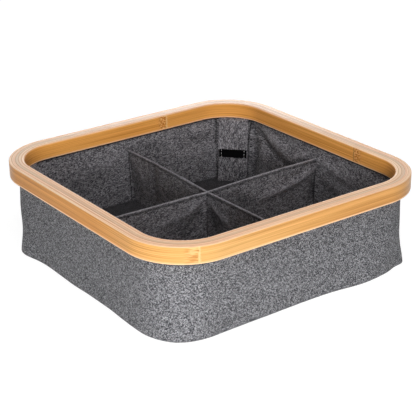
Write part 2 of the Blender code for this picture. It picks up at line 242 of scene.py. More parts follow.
def ramp(tree, value, *stops):
    """A colour ramp, with its stops given as (place, tone)."""
    node = add_node(tree, "ShaderNodeValToRGB", {"Fac": value})
    elements = node.color_ramp.elements
    while len(elements) < len(stops):
        elements.new(1)
    for element, (place, tone) in zip(elements, stops):
        element.position = place
        element.color = (*tone, 1)
    return node


def drawn_out(tree, where, patch, detail, roughness=0.5):
    """Flat noise drawn out over a map, so that its patches have this length and width in metres."""
    scaled = add_node(tree, "ShaderNodeMapping", {"Vector": where, "Scale": (1 / patch[0], 1 / patch[1], 1)})
    return add_node(tree, "ShaderNodeTexNoise", {
        "Vector": scaled, "Scale": 1.0, "Detail": detail, "Roughness": roughness}, noise_dimensions="2D")


def new_material(name, roughness):
    """A named material with its Principled shader and the given roughness."""
    material = bpy.data.materials.new(name)
    material.use_nodes = True
    shader = material.node_tree.nodes["Principled BSDF"]
    shader.inputs["Roughness"].default_value = roughness
    return material, material.node_tree, shader


# What the bamboo material reads from a ply, as map_ply writes it
PLY_VALUES = ("edge_grain", "rise", "tone", "pale", "knuckle", "dark_ring", "short_comb",
              "seam_outside", "seam_inside")
# Fibres, broad streaks and stripes: length and width in metres
FIBRES = (0.150, 0.0006)
STREAKS = (0.420, 0.0026)
STRIPES = (0.300, 0.0010)
# Heights over a ply's foot between which the painted highlight along its lower edge fades out
EDGE_HIGHLIGHT_FADE = (0.0014, 0.0026)
# How far from a glue line its resin still darkens the edge grain
RESIN = (0.0001, 0.0005)
# How far a knuckle's pale ring wanders along the ply, the size in metres of the patches in which it does,
# and its half width: full, and faded out
RING_WANDER = 0.0036
WANDER_PATCH = (1 / 70, 1 / 300)
RING_WIDTHS = (0.0002, 0.0013)
# Where the comb of fibres beside the ring begins, is full and ends, in metres along the ply
COMB_BEGIN, COMB_FULL, COMB_END = -0.0145, -0.0060, -0.0010
# Length and height of the comb's teeth: on the outer plies, and shorter ones on the inner ply
COMB_TEETH = ((0.0085, 0.0016), (0.0026, 0.0013))


def shades(tone, darker, lighter):
    """A tone with a darker and a lighter one, each given as its share of red, green and blue."""
    dark = tuple(channel * share for channel, share in zip(tone, darker))
    light = tuple(min(channel * share, 1) for channel, share in zip(tone, lighter))
    return dark, tone, light


def make_bent_bamboo(looks):
    """Bent bamboo ply, sanded and satin-varnished: long fibres, paler edge grain, knuckles here and there.

    Its map runs in metres along the ply and across it. Fibre bundles of real bamboo are 0.3 to 0.5 mm
    wide; the streaks that the eye sees are 1 to 3 mm wide and a hand's breadth long. Painted highlights
    lighten the lower edges of the faces that show, and the outer ply round the near corner and the front.
    """
    material, tree, shader = new_material("bent_bamboo_ply", 0.42)
    grain_map = add_node(tree, "ShaderNodeUVMap", uv_map="grain")
    read = {name: add_node(tree, "ShaderNodeAttribute", attribute_name=name).outputs["Fac"]
            for name in PLY_VALUES}
    fibres, streaks, stripes = (
        drawn_out(tree, grain_map, patch, 2, 0.6) for patch in (FIBRES, STREAKS, STRIPES))

    # The flat face: honey brown, with darker fibres and lighter streaks
    mixed = blend(tree, 0.33, fibres, streaks, kind="FLOAT")
    dark, tone, light = shades(looks.face, (0.76, 0.64, 0.50), (1.18, 1.28, 1.5))
    face_tone = ramp(tree, mixed, (0.34, dark), (0.50, tone), (0.66, light))

    # The edge grain on top: paler, striped, and darker with resin beside the glue lines
    edge_mixed = blend(tree, 0.65, fibres, stripes, kind="FLOAT")
    dark, tone, light = shades(looks.edge, (0.80, 0.70, 0.62), (1.15, 1.22, 1.3))
    edge_tone = ramp(tree, edge_mixed, (0.38, dark), (0.50, tone), (0.60, light))
    near_seam = reckon(tree, "MINIMUM", read["seam_outside"], read["seam_inside"])
    resin = remap(tree, near_seam, RESIN, (0.4, 0.0))
    resin_tone = shades(looks.edge, (0.62, 0.44, 0.36), (1, 1, 1))[0]
    glued = blend(tree, resin, edge_tone, (*resin_tone, 1))
    # Painted highlight: the outer ply's face is made paler and less saturated round the near corner and along
    # the front
    lighter = blend(tree, 1.0, face_tone, looks.highlight_paleness, way="MULTIPLY")
    face_with_highlight = blend(tree, read["pale"], face_tone, lighter)

    # Painted highlight: the lower edges of the faces that show are given the paler edge grain, and lighter
    # still
    edge_highlight = remap(tree, read["rise"], EDGE_HIGHLIGHT_FADE, (1.0, 0.0))
    edge_grain_and_highlight = reckon(tree, "MAXIMUM", read["edge_grain"], edge_highlight)
    base = blend(tree, edge_grain_and_highlight, face_with_highlight, glued)
    tone_with_highlight = reckon(tree, "MULTIPLY_ADD", edge_highlight, 0.25, read["tone"])
    toned = blend(tree, 1.0, base, tone_with_highlight, way="MULTIPLY")
    ringed, ring_weight = add_knuckles(tree, looks, grain_map, read, edge_grain_and_highlight, toned)

    # Satin varnish, a little rougher on the fibres than between them
    rough = remap(tree, fibres, (0, 1), (0.34, 0.52))
    relief = reckon(tree, "MULTIPLY_ADD", ring_weight, 1.5, fibres)
    bump = add_node(tree, "ShaderNodeBump", {"Height": relief, "Strength": 0.25, "Distance": 0.00012})
    feed(tree, shader, {"Base Color": ringed, "Roughness": rough, "Normal": bump, "IOR": 1.5,
        "Specular IOR Level": 0.15, "Coat Weight": 0.27, "Coat Roughness": 0.12})
    return material


def add_knuckles(tree, looks, grain_map, read, edge_grain_and_highlight, toned):
    """Knuckles over the toned bamboo: a thin pale ring, and brown and pale fibres on one side of it."""
    wander = drawn_out(tree, grain_map, WANDER_PATCH, 3)
    shift = reckon(tree, "SUBTRACT", wander, 0.5)
    moved = reckon(tree, "MULTIPLY_ADD", shift, RING_WANDER, read["knuckle"])
    away = reckon(tree, "ABSOLUTE", moved)
    ring = remap(tree, away, RING_WIDTHS, (0.8, 0.0), smooth=True)
    combs = [drawn_out(tree, grain_map, tooth, 1) for tooth in COMB_TEETH]
    comb = blend(tree, read["short_comb"], combs[0], combs[1], kind="FLOAT")
    rising = remap(tree, moved, (COMB_BEGIN, COMB_FULL), smooth=True)
    before = reckon(tree, "LESS_THAN", moved, COMB_END)
    beside = reckon(tree, "MULTIPLY", rising, before)
    brown_on = remap(tree, comb, (0.48, 0.60), smooth=True)
    pale_on = remap(tree, comb, (0.46, 0.36), (0, 0.55), smooth=True)
    off_edge = remap(tree, edge_grain_and_highlight, (0, 1), (0.85, 0.15))
    strong = reckon(tree, "MULTIPLY", beside, off_edge)
    deepest = remap(tree, read["short_comb"], (0, 1), (0.6, 1.2))
    brown_comb = reckon(tree, "MULTIPLY", strong, brown_on)
    brown_weight = reckon(tree, "MULTIPLY", brown_comb, deepest, clamped=True)
    pale_teeth = reckon(tree, "MULTIPLY", strong, pale_on)
    ring_line = reckon(tree, "MULTIPLY", ring, off_edge)
    ring_weight = reckon(tree, "MAXIMUM", ring_line, pale_teeth)
    combed = blend(tree, brown_weight, toned, (*looks.knuckle, 1))
    dark_line = reckon(tree, "MULTIPLY", ring, read["dark_ring"])
    darkest = [channel * 0.6 for channel in looks.knuckle]
    ring_tone = blend(tree, dark_line, (*looks.ring, 1), (*darkest, 1))
    ringed = blend(tree, ring_weight, combed, ring_tone)
    return ringed, ring_weight


def make_slat_bamboo(looks):
    """Split bamboo slat, planed and left raw: straight upright fibres about 0.6 mm wide, hardly any gloss."""
    material, tree, shader = new_material("split_bamboo_slat", 0.62)
    place = add_node(tree, "ShaderNodeTexCoord").outputs["Object"]
    scaled = add_node(tree, "ShaderNodeMapping", {"Vector": place, "Scale": (1600.0, 1600.0, 20.0)})
    fibres = add_node(tree, "ShaderNodeTexNoise", {"Vector": scaled, "Scale": 1.0, "Detail": 3.0})
    tones = ramp(tree, fibres, (0.35, [c * 0.7 for c in looks.face]), (0.6, looks.face))
    bump = add_node(tree, "ShaderNodeBump", {"Height": fibres, "Strength": 0.3, "Distance": 0.0001})
    feed(tree, shader, {"Base Color": tones, "Normal": bump})
    return material


def make_melange_weave(name, tones, pitch, slub, weft_share, spread_of_tones, cloudiness):
    """Plain-woven melange polyester: each yarn has its own tone, which changes along its length.

    Yarns lie 0.3 mm apart in the real cloth. They are drawn nearly twice as wide, or they wouldn't show,
    and lighter and darker ones take turns. A stretch of one tone is about half a slub long. The cloth is
    matt with a faint sheen. Painted shade and highlight, read from each vertex, darken it in seams, creases
    and shadowed places and lighten it on fold crests; each yarn has painted shade towards its edges.
    """
    material, tree, shader = new_material(name, 0.92)
    cloth_map = add_node(tree, "ShaderNodeUVMap", uv_map="weave")
    cells = add_node(tree, "ShaderNodeVectorMath", {0: cloth_map, "Scale": 1 / pitch}, operation="SCALE")
    whole = add_node(tree, "ShaderNodeVectorMath", {0: cells}, operation="FLOOR")
    within = add_node(tree, "ShaderNodeVectorMath", {0: cells}, operation="FRACTION")
    yarn = add_node(tree, "ShaderNodeSeparateXYZ", {0: whole})
    on_cloth = add_node(tree, "ShaderNodeSeparateXYZ", {0: cloth_map})
    yarn_tone = 0.5
    # First the yarns along the cloth's map, then those across it, each set with tones of its own
    for along, number, shift, share in ((0, 1, 0.0, weft_share), (1, 0, 51.7, 1 - weft_share)):
        way = reckon(tree, "MULTIPLY", on_cloth.outputs[along], 1 / slub)
        own = reckon(tree, "MULTIPLY_ADD", yarn.outputs[number], 0.7, shift)
        place = add_node(tree, "ShaderNodeCombineXYZ", {0: way, 1: own})
        run = add_node(tree, "ShaderNodeTexNoise", {
            "Vector": place, "Scale": 1.0, "Detail": 1.0, "Roughness": 0.6}, noise_dimensions="2D")
        odd = reckon(tree, "FLOORED_MODULO", yarn.outputs[number], 2.0)
        turned = remap(tree, odd, (0, 1), (-share, share))
        centred = reckon(tree, "SUBTRACT", run, 0.5)
        yarn_tone = reckon(tree, "MULTIPLY_ADD", centred, turned, yarn_tone)
    light, middle, dark = tones
    tinted = ramp(tree, yarn_tone, (0.5 - spread_of_tones, dark), (0.50, middle),
                  (0.5 + spread_of_tones, light))
    off_middle = add_node(tree, "ShaderNodeVectorMath", {0: within, 1: (0.5, 0.5, 0.0)}, operation="SUBTRACT")
    spread = add_node(tree, "ShaderNodeVectorMath", {0: off_middle, 1: off_middle}, operation="DOT_PRODUCT")
    round_yarn = reckon(tree, "MULTIPLY_ADD", spread.outputs["Value"], -1.8, 1.0)
    place = add_node(tree, "ShaderNodeTexCoord").outputs["Object"]
    clouds = add_node(tree, "ShaderNodeTexNoise", {"Vector": place, "Scale": 38.0, "Detail": 2.0})
    cloud = remap(tree, clouds, (0, 1), (1 - cloudiness, 1 + cloudiness))
    # Painted shade: each yarn is darker towards its edges, as if shaded by the yarns beside it
    depth = remap(tree, round_yarn, (0, 1), (0.75, 1.10))
    shade = reckon(tree, "MULTIPLY", cloud, depth)
    # Painted shade and highlight, written on each vertex: below 0 darker, above 0 paler and plainer
    folded = add_node(tree, "ShaderNodeAttribute", attribute_name="folded").outputs["Fac"]
    highlight_share = reckon(tree, "MULTIPLY", folded, 0.8, clamped=True)
    evened = blend(tree, highlight_share, tinted, (*middle, 1))
    painted_light_factor = remap(tree, folded, (-1.0, 1), (0.25, 2.1))
    shade_with_painted_light = reckon(tree, "MULTIPLY", shade, painted_light_factor)
    shaded = add_node(tree, "ShaderNodeVectorMath", {
        0: evened.outputs[2], "Scale": shade_with_painted_light}, operation="SCALE")
    relief = reckon(tree, "MULTIPLY_ADD", yarn_tone, 2.0, round_yarn)
    bump = add_node(tree, "ShaderNodeBump", {"Height": relief, "Strength": 0.5, "Distance": 0.00015})
    feed(tree, shader, {"Base Color": shaded, "Normal": bump, "Sheen Weight": 0.15,
        "Sheen Roughness": 0.5, "Specular IOR Level": 0.1})
    return material


def make_loop_tape():
    """Hook-and-loop tape of nylon, dyed black: a dense pile of loops 0.7 mm across, dull and very dark."""
    material, tree, shader = new_material("nylon_loop_tape", 0.8)
    place = add_node(tree, "ShaderNodeTexCoord").outputs["Object"]
    pile = add_node(tree, "ShaderNodeTexVoronoi", {"Vector": place, "Scale": 1400.0})
    tones = ramp(tree, pile.outputs["Distance"], (0.0, linear("#0C0B0D")), (0.8, linear("#020203")))
    bump = add_node(tree, "ShaderNodeBump", {
        "Height": pile.outputs["Distance"], "Strength": 0.6, "Distance": 0.0003}, invert=True)
    feed(tree, shader, {"Base Color": tones, "Normal": bump, "Specular IOR Level": 0.05})
    return material


def make_thread(name, tone):
    """Spun polyester sewing thread, matt: its plies are twisted, so its tone comes and goes every 1.6 mm."""
    material, tree, shader = new_material(name, 0.7)
    place = add_node(tree, "ShaderNodeTexCoord").outputs["Object"]
    twist = add_node(tree, "ShaderNodeTexWave", {
        "Vector": place, "Scale": 390.0, "Distortion": 1.0}, bands_direction="DIAGONAL")
    tones = ramp(tree, twist, (0.0, [c * 0.75 for c in tone]), (1.0, [c * 1.15 for c in tone]))
    feed(tree, shader, {"Base Color": tones})
    return material


def make_fibre_board():
    """Pressed grey fibre board, calendered: a matt face with short fibres about 1 mm long."""
    material, tree, shader = new_material("pressed_fibre_board", 0.9)
    place = add_node(tree, "ShaderNodeTexCoord").outputs["Object"]
    fibres = add_node(tree, "ShaderNodeTexNoise", {"Vector": place, "Scale": 1000.0, "Detail": 3.0})
    tones = ramp(tree, fibres, (0.4, linear("#8E887D")), (0.6, linear("#B5AEA1")))
    feed(tree, shader, {"Base Color": tones})
    return material


def make_floor_paint():
    """Matt white paint on the studio floor, mostly plain white to the camera, with a soft shadow."""
    material, tree, shader = new_material("matt_studio_paint", 0.9)
    place = add_node(tree, "ShaderNodeTexCoord").outputs["Object"]
    roller = add_node(tree, "ShaderNodeTexNoise", {"Vector": place, "Scale": 400.0})
    tones = ramp(tree, roller, (0.3, (0.58, 0.58, 0.58)), (0.7, (0.60, 0.60, 0.60)))
    white = add_node(tree, "ShaderNodeEmission", {"Color": (1.0, 1.0, 1.0, 1.0), "Strength": 1.30})
    path = add_node(tree, "ShaderNodeLightPath")
    seen = reckon(tree, "MAXIMUM", path.outputs["Is Camera Ray"], path.outputs["Is Glossy Ray"])
    share = reckon(tree, "MULTIPLY", seen, 0.72)
    mixed = add_node(tree, "ShaderNodeMixShader", {0: share, 1: shader, 2: white})
    feed(tree, tree.nodes["Material Output"], {"Surface": mixed})
    feed(tree, shader, {"Base Color": tones, "Specular IOR Level": 0.0})
    return material


# The materials under short names, from when BOX_OT_materials has mixed them
materials = {}


def new_object(name, mesh, material):
    """An object at the origin, with its place in its mesh."""
    piece = bpy.data.objects.new(name, mesh)
    mesh.name = name
    mesh.materials.clear()
    mesh.materials.append(materials[material])
    bpy.context.scene.collection.objects.link(piece)
    return piece


def settle(piece):
    """Turns a piece and its modifiers into a plain mesh."""
    evaluated = piece.evaluated_get(bpy.context.evaluated_depsgraph_get())
    mesh = bpy.data.meshes.new_from_object(evaluated)
    mesh.name = piece.name
    piece.modifiers.clear()
    piece.data = mesh


def run_tree(piece, tree, inputs):
    """Sets a node tree on a piece, with its inputs given by name."""
    modifier = piece.modifiers.new(tree.name, "NODES")
    modifier.node_group = tree
    for item in tree.interface.items_tree:
        if item.item_type == "SOCKET" and item.in_out == "INPUT" and item.name in inputs:
            modifier[item.identifier] = inputs[item.name]


def new_tree(name, sockets):
    """An empty geometry tree with the given inputs, and those inputs by name."""
    tree = bpy.data.node_groups.new(name, "GeometryNodeTree")
    tree.interface.new_socket(name="Geometry", in_out="OUTPUT", socket_type="NodeSocketGeometry")
    for socket, kind in sockets:
        tree.interface.new_socket(name=socket, in_out="INPUT", socket_type="NodeSocket" + kind)
    return tree, add_node(tree, "NodeGroupInput").outputs


def finish_tree(tree, geometry, given):
    """Ends a geometry tree: real meshes instead of instances, with their material."""
    real = add_node(tree, "GeometryNodeRealizeInstances", {"Geometry": geometry})
    painted = add_node(tree, "GeometryNodeSetMaterial", {
        "Geometry": real, "Material": given["Material"]})
    add_node(tree, "NodeGroupOutput", {"Geometry": painted})


def bent_ply_tree():
    """Tree that bends one ply: a rounded strip section carried round a square with filleted corners."""
    tree, given = new_tree("Bent ply", (
        ("Geometry", "Geometry"), ("Side", "Float"), ("Corner Radius", "Float"), ("Spacing", "Float"),
        ("Inset", "Float"), ("Thickness", "Float"), ("Bottom", "Float"), ("Height", "Float"),
        ("Outer Rounding", "Float"), ("Inner Rounding", "Float"), ("Material", "Material")))
    square = add_node(tree, "GeometryNodeCurvePrimitiveQuadrilateral", {
        "Width": given["Side"], "Height": given["Side"]}, mode="RECTANGLE")
    bent = add_node(tree, "GeometryNodeFilletCurve", {
        "Curve": square, "Count": 40, "Radius": given["Corner Radius"]}, mode="POLY")
    path = add_node(tree, "GeometryNodeResampleCurve", {
        "Curve": bent, "Length": given["Spacing"]}, mode="LENGTH")
    level = add_node(tree, "GeometryNodeSetCurveNormal", {"Curve": path}, mode="Z_UP")
    strip = add_node(tree, "GeometryNodeCurvePrimitiveQuadrilateral", {
        "Width": given["Thickness"], "Height": given["Height"]}, mode="RECTANGLE")
    place = add_node(tree, "GeometryNodeInputPosition")
    across = add_node(tree, "ShaderNodeSeparateXYZ", {0: place})
    outer = add_node(tree, "FunctionNodeCompare", {
        "A": across.outputs[0], "B": 0.0}, operation="GREATER_THAN", data_type="FLOAT")
    radius = add_node(tree, "GeometryNodeSwitch", {
        "Switch": outer, "False": given["Inner Rounding"],
        "True": given["Outer Rounding"]}, input_type="FLOAT")
    rounded = add_node(tree, "GeometryNodeFilletCurve", {
        "Curve": strip, "Count": 6, "Radius": radius, "Limit Radius": True}, mode="POLY")
    half_thick = reckon(tree, "MULTIPLY", given["Thickness"], 0.5)
    in_by = reckon(tree, "ADD", given["Inset"], half_thick)
    out_by = reckon(tree, "MULTIPLY", in_by, -1.0)
    half_high = reckon(tree, "MULTIPLY", given["Height"], 0.5)
    up_by = reckon(tree, "ADD", given["Bottom"], half_high)
    down_by = reckon(tree, "MULTIPLY", up_by, -1.0)
    shift = add_node(tree, "ShaderNodeCombineXYZ", {0: out_by, 1: down_by})
    section = add_node(tree, "GeometryNodeSetPosition", {"Geometry": rounded, "Offset": shift})
    ply = add_node(tree, "GeometryNodeCurveToMesh", {"Curve": level, "Profile Curve": section})
    smooth = add_node(tree, "GeometryNodeSetShadeSmooth", {"Geometry": ply, "Shade Smooth": True})
    finish_tree(tree, smooth, given)
    return tree


def stitch_row_tree():
    """Tree that sews: it lays small thread loops end to end along a curve."""
    tree, given = new_tree("Stitch row", (
        ("Geometry", "Geometry"), ("Pitch", "Float"), ("Length", "Float"), ("Width", "Float"),
        ("Material", "Material")))
    spaced = add_node(tree, "GeometryNodeResampleCurve", {
        "Curve": given["Geometry"], "Length": given["Pitch"]}, mode="LENGTH")
    loop = add_node(tree, "GeometryNodeMeshUVSphere", {"Segments": 8, "Rings": 6, "Radius": 0.5})
    stretch = add_node(tree, "ShaderNodeCombineXYZ", {
        0: given["Width"], 1: given["Width"], 2: given["Length"]})
    sized = add_node(tree, "GeometryNodeTransform", {"Geometry": loop, "Scale": stretch})
    tangent = add_node(tree, "GeometryNodeInputTangent")
    turn = add_node(tree, "FunctionNodeAlignRotationToVector", {"Vector": tangent}, axis="Z")
    laid = add_node(tree, "GeometryNodeInstanceOnPoints", {
        "Points": spaced, "Instance": sized, "Rotation": turn})
    finish_tree(tree, laid, given)
    return tree


def round_the_box(x, y, corner_centre, corner_radius):
    """How far round the box each point lies, along a rounded square with this corner radius."""
    straight = 2 * corner_centre
    quarter = straight + corner_radius * math.pi / 2
    place = np.zeros(len(x))
    for number in range(4):
        turn = number * math.pi / 2
        out = x * math.cos(turn) + y * math.sin(turn)
        beside = y * math.cos(turn) - x * math.sin(turn)
        on_side = (out >= corner_centre) & (np.abs(beside) <= corner_centre)
        in_corner = (out > corner_centre) & (beside > corner_centre)
        angle = np.arctan2(beside - corner_centre, out - corner_centre)
        bent = corner_centre + corner_radius * angle
        place = np.where(on_side, number * quarter + beside, place)
        place = np.where(in_corner, number * quarter + bent, place)
    return place, 4 * quarter


def keep_values(mesh, values):
    """Writes named numbers, one for each vertex, for a material to read."""
    for name, numbers in values.items():
        layer = mesh.attributes.new(name, "FLOAT", "POINT")
        layer.data.foreach_set("value", np.array(numbers, dtype=np.float32))


# Where the knuckles of each ply lie, as shares of the way round, and which way each is turned
KNUCKLES = {
    "outer": ((0.6435, 1), (0.365, -1), (0.891, 1)), "second": ((0.11, 1), (0.47, 1), (0.80, -1)),
    "middle": ((0.29, 1), (0.55, -1), (0.955, 1)), "groove": ((0.04, 1), (0.38, 1), (0.70, 1)),
    "inner": ((0.2046, -1), (0.455, 1), (0.72, 1), (0.9490, 1))}
# How light each ply is; the middle one is the dark band on the rim's top
PLY_TONES = {"outer": 0.98, "second": 0.97, "middle": 0.78, "groove": 0.91, "inner": 0.99}
# How far a face has to turn up or down before edge grain shows, and how much further until it is full
EDGE_GRAIN_FROM, EDGE_GRAIN_OVER = 0.28, 0.35
# Painted highlight, with some paler wood beside the near knuckle: the outer ply is palest round the near
# corner and fairly pale along the front, where the light falls: shares round, and how strong; the other
# plies are all a little paler
HIGHLIGHT_SHARES = (0.0, 0.54, 0.60, 0.66, 0.74, 0.86)
HIGHLIGHT_STRENGTHS = (0.3, 0.0, 0.6, 1.0, 0.6, 0.5)
OTHER_PALENESS = 0.2
# The inner ply's last knuckle has a dark ring instead of a pale one, this strong
DARK_RING = 1.25
# How far along and across the grain's map of each ply is moved, so that no two plies have the same grain
MAP_START, MAP_STEP, MAP_ACROSS = 0.9, 1.7, 0.37


def map_ply(mesh, looks, inset, knuckles, tone, seed):
    """Writes what the bamboo material reads: the grain's map, the edge grain, the knuckles and the tone."""
    count = len(mesh.vertices)
    points = np.zeros(count * 3)
    mesh.vertices.foreach_get("co", points)
    points = points.reshape(-1, 3)
    normals = np.array([normal.vector for normal in mesh.vertex_normals])
    corner_centre = HALF_SIDE - looks.corner_radius
    # The way round is counted along the middle of the rim, whose width is a quarter of its corner radius
    middle_radius = looks.corner_radius - (HALF_SIDE - corner_centre) / 8
    along, whole = round_the_box(points[:, 0], points[:, 1], corner_centre, middle_radius)
    shares, turned = np.array(knuckles).T
    places = shares * whole
    away = (along[:, None] - places[None, :] + whole / 2) % whole - whole / 2
    closest = np.abs(away).argmin(axis=1)
    nearest = away[np.arange(count), closest] * turned[closest]
    outermost = inset == PLY_INSETS[0]
    innermost = inset == PLY_INSETS[-1]
    edge_grain = np.clip((np.abs(normals[:, 2]) - EDGE_GRAIN_FROM) / EDGE_GRAIN_OVER, 0, 1)
    flat = np.abs(points[:, :2])
    beyond = np.maximum(flat - corner_centre, 0)
    reach = np.where((beyond > 0).all(axis=1), np.hypot(*beyond.T), beyond.max(axis=1))
    depth = looks.corner_radius - reach - inset
    apart = 2 * HALF_SIDE
    # Only the two faces that show get the painted highlight along their lower edge: the others are set a
    # metre over it
    shows = np.where(depth < depth.max() / 2, outermost, innermost)
    rise = points[:, 2] - points[:, 2].min() + 1 - shows
    # Painted highlight on the outer ply round the near corner and along the front
    highlight_paleness = np.interp(along / whole, HIGHLIGHT_SHARES, HIGHLIGHT_STRENGTHS)
    keep_values(mesh, {
        "knuckle": nearest, "dark_ring": DARK_RING * innermost * (closest == len(places) - 1),
        "rise": rise, "short_comb": np.full(count, float(innermost)), "edge_grain": edge_grain,
        "tone": np.full(count, tone), "pale": highlight_paleness if outermost else np.full(count, OTHER_PALENESS),
        "seam_outside": depth + apart if outermost else depth,
        "seam_inside": depth + apart if innermost else depth.max() - depth})
    drop = RIM_TOP - points[:, 2]
    grain_map = mesh.uv_layers.new(name="grain")
    for polygon in mesh.polygons:
        corners = list(polygon.vertices)
        runs = (along[corners] - places[0]) % whole
        if runs.max() - runs.min() > whole / 2:
            runs = np.where(runs < whole / 2, runs + whole, runs)
        faces_in = depth[corners].mean() > depth.max() / 2
        for loop, vertex, run in zip(polygon.loop_indices, corners, runs):
            side = drop[vertex] if faces_in else -drop[vertex]
            grain_map.data[loop].uv = (run + seed, depth[vertex] + side + seed * MAP_ACROSS)


class BOX_OT_rim(bpy.types.Operator):
    """Bends the five plies of the rim and gives them their grain"""

    bl_idname = "organizer_box.rim"
    bl_label = "Bamboo Rim"

    def execute(self, context):
        looks = context.scene.organizer_rim
        tree = bent_ply_tree()
        ends = PLY_INSETS[1:] + [PLY_INSETS[-1] + looks.ply_thickness + looks.glue_line]
        for number, (name, inset, end) in enumerate(zip(PLY_NAMES, PLY_INSETS, ends)):
            node = PLY_NODES[number]
            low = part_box(node)[0].z
            ply = new_object("bent_ply_" + name, bpy.data.meshes.new(name), "bamboo")
            run_tree(ply, tree, {
                "Side": 2 * HALF_SIDE, "Corner Radius": looks.corner_radius, "Spacing": looks.spacing,
                "Inset": inset, "Thickness": end - inset - looks.glue_line, "Bottom": low,
                "Height": RIM_TOP - low, "Material": materials["bamboo"],
                "Outer Rounding": looks.edge_round * 0.75 if name == "outer" else looks.ply_round,
                "Inner Rounding": looks.edge_round if name == "inner" else looks.ply_round})
            ply.modifiers.new("flat faces", "WEIGHTED_NORMAL")
            settle(ply)
            seed = MAP_STEP * number + MAP_START
            map_ply(ply.data, looks, inset, KNUCKLES[name], PLY_TONES[name], seed)
            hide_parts(node)
            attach(ply, "rim")
        return {"FINISHED"}


def stations(spacing, corner_centre, finer=()):
    """Places round the box: for each, its side, and its share of the straight or its angle in the corner."""
    straights = round(2 * corner_centre / spacing)
    arcs = round((HALF_SIDE - corner_centre) * math.pi / 2 / spacing)
    found = []
    for number in range(4):
        found += [(number, -1 + 2 * step / straights, 0.0) for step in range(straights)]
        found += [(number, 1.0, step / arcs * math.pi / 2) for step in range(arcs)]
        found += [(number, share, angle) for share, angle in finer]
    return sorted(set(found))


def loop_at(places, inset, radius):
    """Points of a rounded square at this inset from the rim's face, one for each place."""
    centre = HALF_SIDE - inset - radius
    points = []
    for number, share, angle in places:
        point = Vector((centre + radius * math.cos(angle), centre * share + radius * math.sin(angle)))
        point.rotate(Matrix.Rotation(number * math.pi / 2, 2))
        points.append(point)
    return np.array(points)


def ways_round(places, inset, radius):
    """How far round the box each place lies on such a rounded square, with the whole way at the end."""
    centre = HALF_SIDE - inset - radius
    quarter = 2 * centre + radius * math.pi / 2
    ways = [number * quarter + centre * share + radius * angle for number, share, angle in places]
    return np.array(ways + [ways[0] + 4 * quarter])


def rows_down(heights, insets, radii, spacing):
    """Sections between the given ones, so that no row is further than spacing from the next."""
    rows = [(heights[0], insets[0], radii[0])]
    for here, there in zip(zip(heights, insets, radii), zip(heights[1:], insets[1:], radii[1:])):
        steps = max(1, math.ceil(math.dist(here[:2], there[:2]) / spacing))
        for step in range(1, steps + 1):
            share = step / steps
            rows.append(tuple(a + share * (b - a) for a, b in zip(here, there)))
    return rows


# How far under the rim's lower edge the cloth's rows lie closer together, for the shadow line there
CLOSE_ROWS = (0.0004, 0.0010, 0.0016, 0.0021, 0.0026, 0.0041, 0.0048, 0.0056, 0.0064)


def closer_rows(rows, level):
    """The rows with more of them just under a level."""
    heights, insets, radii = (np.array(numbers)[::-1] for numbers in zip(*rows))
    more = [(height, float(np.interp(height, heights, insets)), float(np.interp(height, heights, radii)))
            for height in level - np.array(CLOSE_ROWS)]
    return sorted(rows + more, reverse=True)


def loft(name, rows, ways, downs, material, cap=False):
    """Closed-loop rows joined into a surface that faces out, with a weave map in metres."""
    count = len(rows[0])
    points = [tuple(point) for row in rows for point in row]
    faces = []
    for row in range(len(rows) - 1):
        for at in range(count):
            after = (at + 1) % count
            here, below = row * count, (row + 1) * count
            faces.append((here + at, below + at, below + after, here + after))
    if cap:
        faces.append(tuple((len(rows) - 1) * count + at for at in range(count))[::-1])
    mesh = bpy.data.meshes.new(name)
    mesh.from_pydata(points, [], faces)
    weave = mesh.uv_layers.new(name="weave")
    for polygon in mesh.polygons:
        if len(polygon.vertices) > 4:
            for loop, vertex in zip(polygon.loop_indices, polygon.vertices):
                weave.data[loop].uv = points[vertex][:2]
            continue
        row, at = divmod(polygon.index, count)
        for loop, (down, way) in zip(polygon.loop_indices, ((0, 0), (1, 0), (1, 1), (0, 1))):
            weave.data[loop].uv = (ways[at + way], -downs[row + down])
    mesh.shade_smooth()
    return new_object(name, mesh, material)


def thicken(piece, thickness, even=False):
    """Gives an open surface its thickness on the inner side, and settles it."""
    solid = piece.modifiers.new("thickness", "SOLIDIFY")
    solid.thickness = thickness
    solid.offset = -1
    solid.use_even_offset = even
    settle(piece)


def crease(along, up, path, width, depth, taper=True):
    """Height of a soft fold that follows a path over the cloth, given as (along, up) points."""
    height = np.zeros(len(along))
    lengths = [math.dist(a, b) for a, b in zip(path, path[1:])]
    whole = sum(lengths)
    gone = 0
    for (a, b), length in zip(zip(path, path[1:]), lengths):
        run = np.array([b[0] - a[0], b[1] - a[1]]) / length
        offset = np.stack([along - a[0], up - a[1]], axis=1)
        on = np.clip(offset @ run, 0, length)
        away = np.hypot(*(offset - on[:, None] * run).T)
        share = (gone + on) / whole
        fade = np.sin(np.pi * np.clip(share * 0.86 + 0.07, 0, 1)) ** 0.7 if taper else 1
        height = np.maximum(height, np.exp(-(away / width) ** 2) * fade)
        gone += length
    return height * depth


def ripple(points, length, seed):
    """Soft random swell at each point, from -1 to 1, with hills about this far apart."""
    offset = Vector((seed * 11.3, seed * 5.7, seed * 3.1))
    return np.array([noise.noise(Vector(point) / length + offset) for point in points])


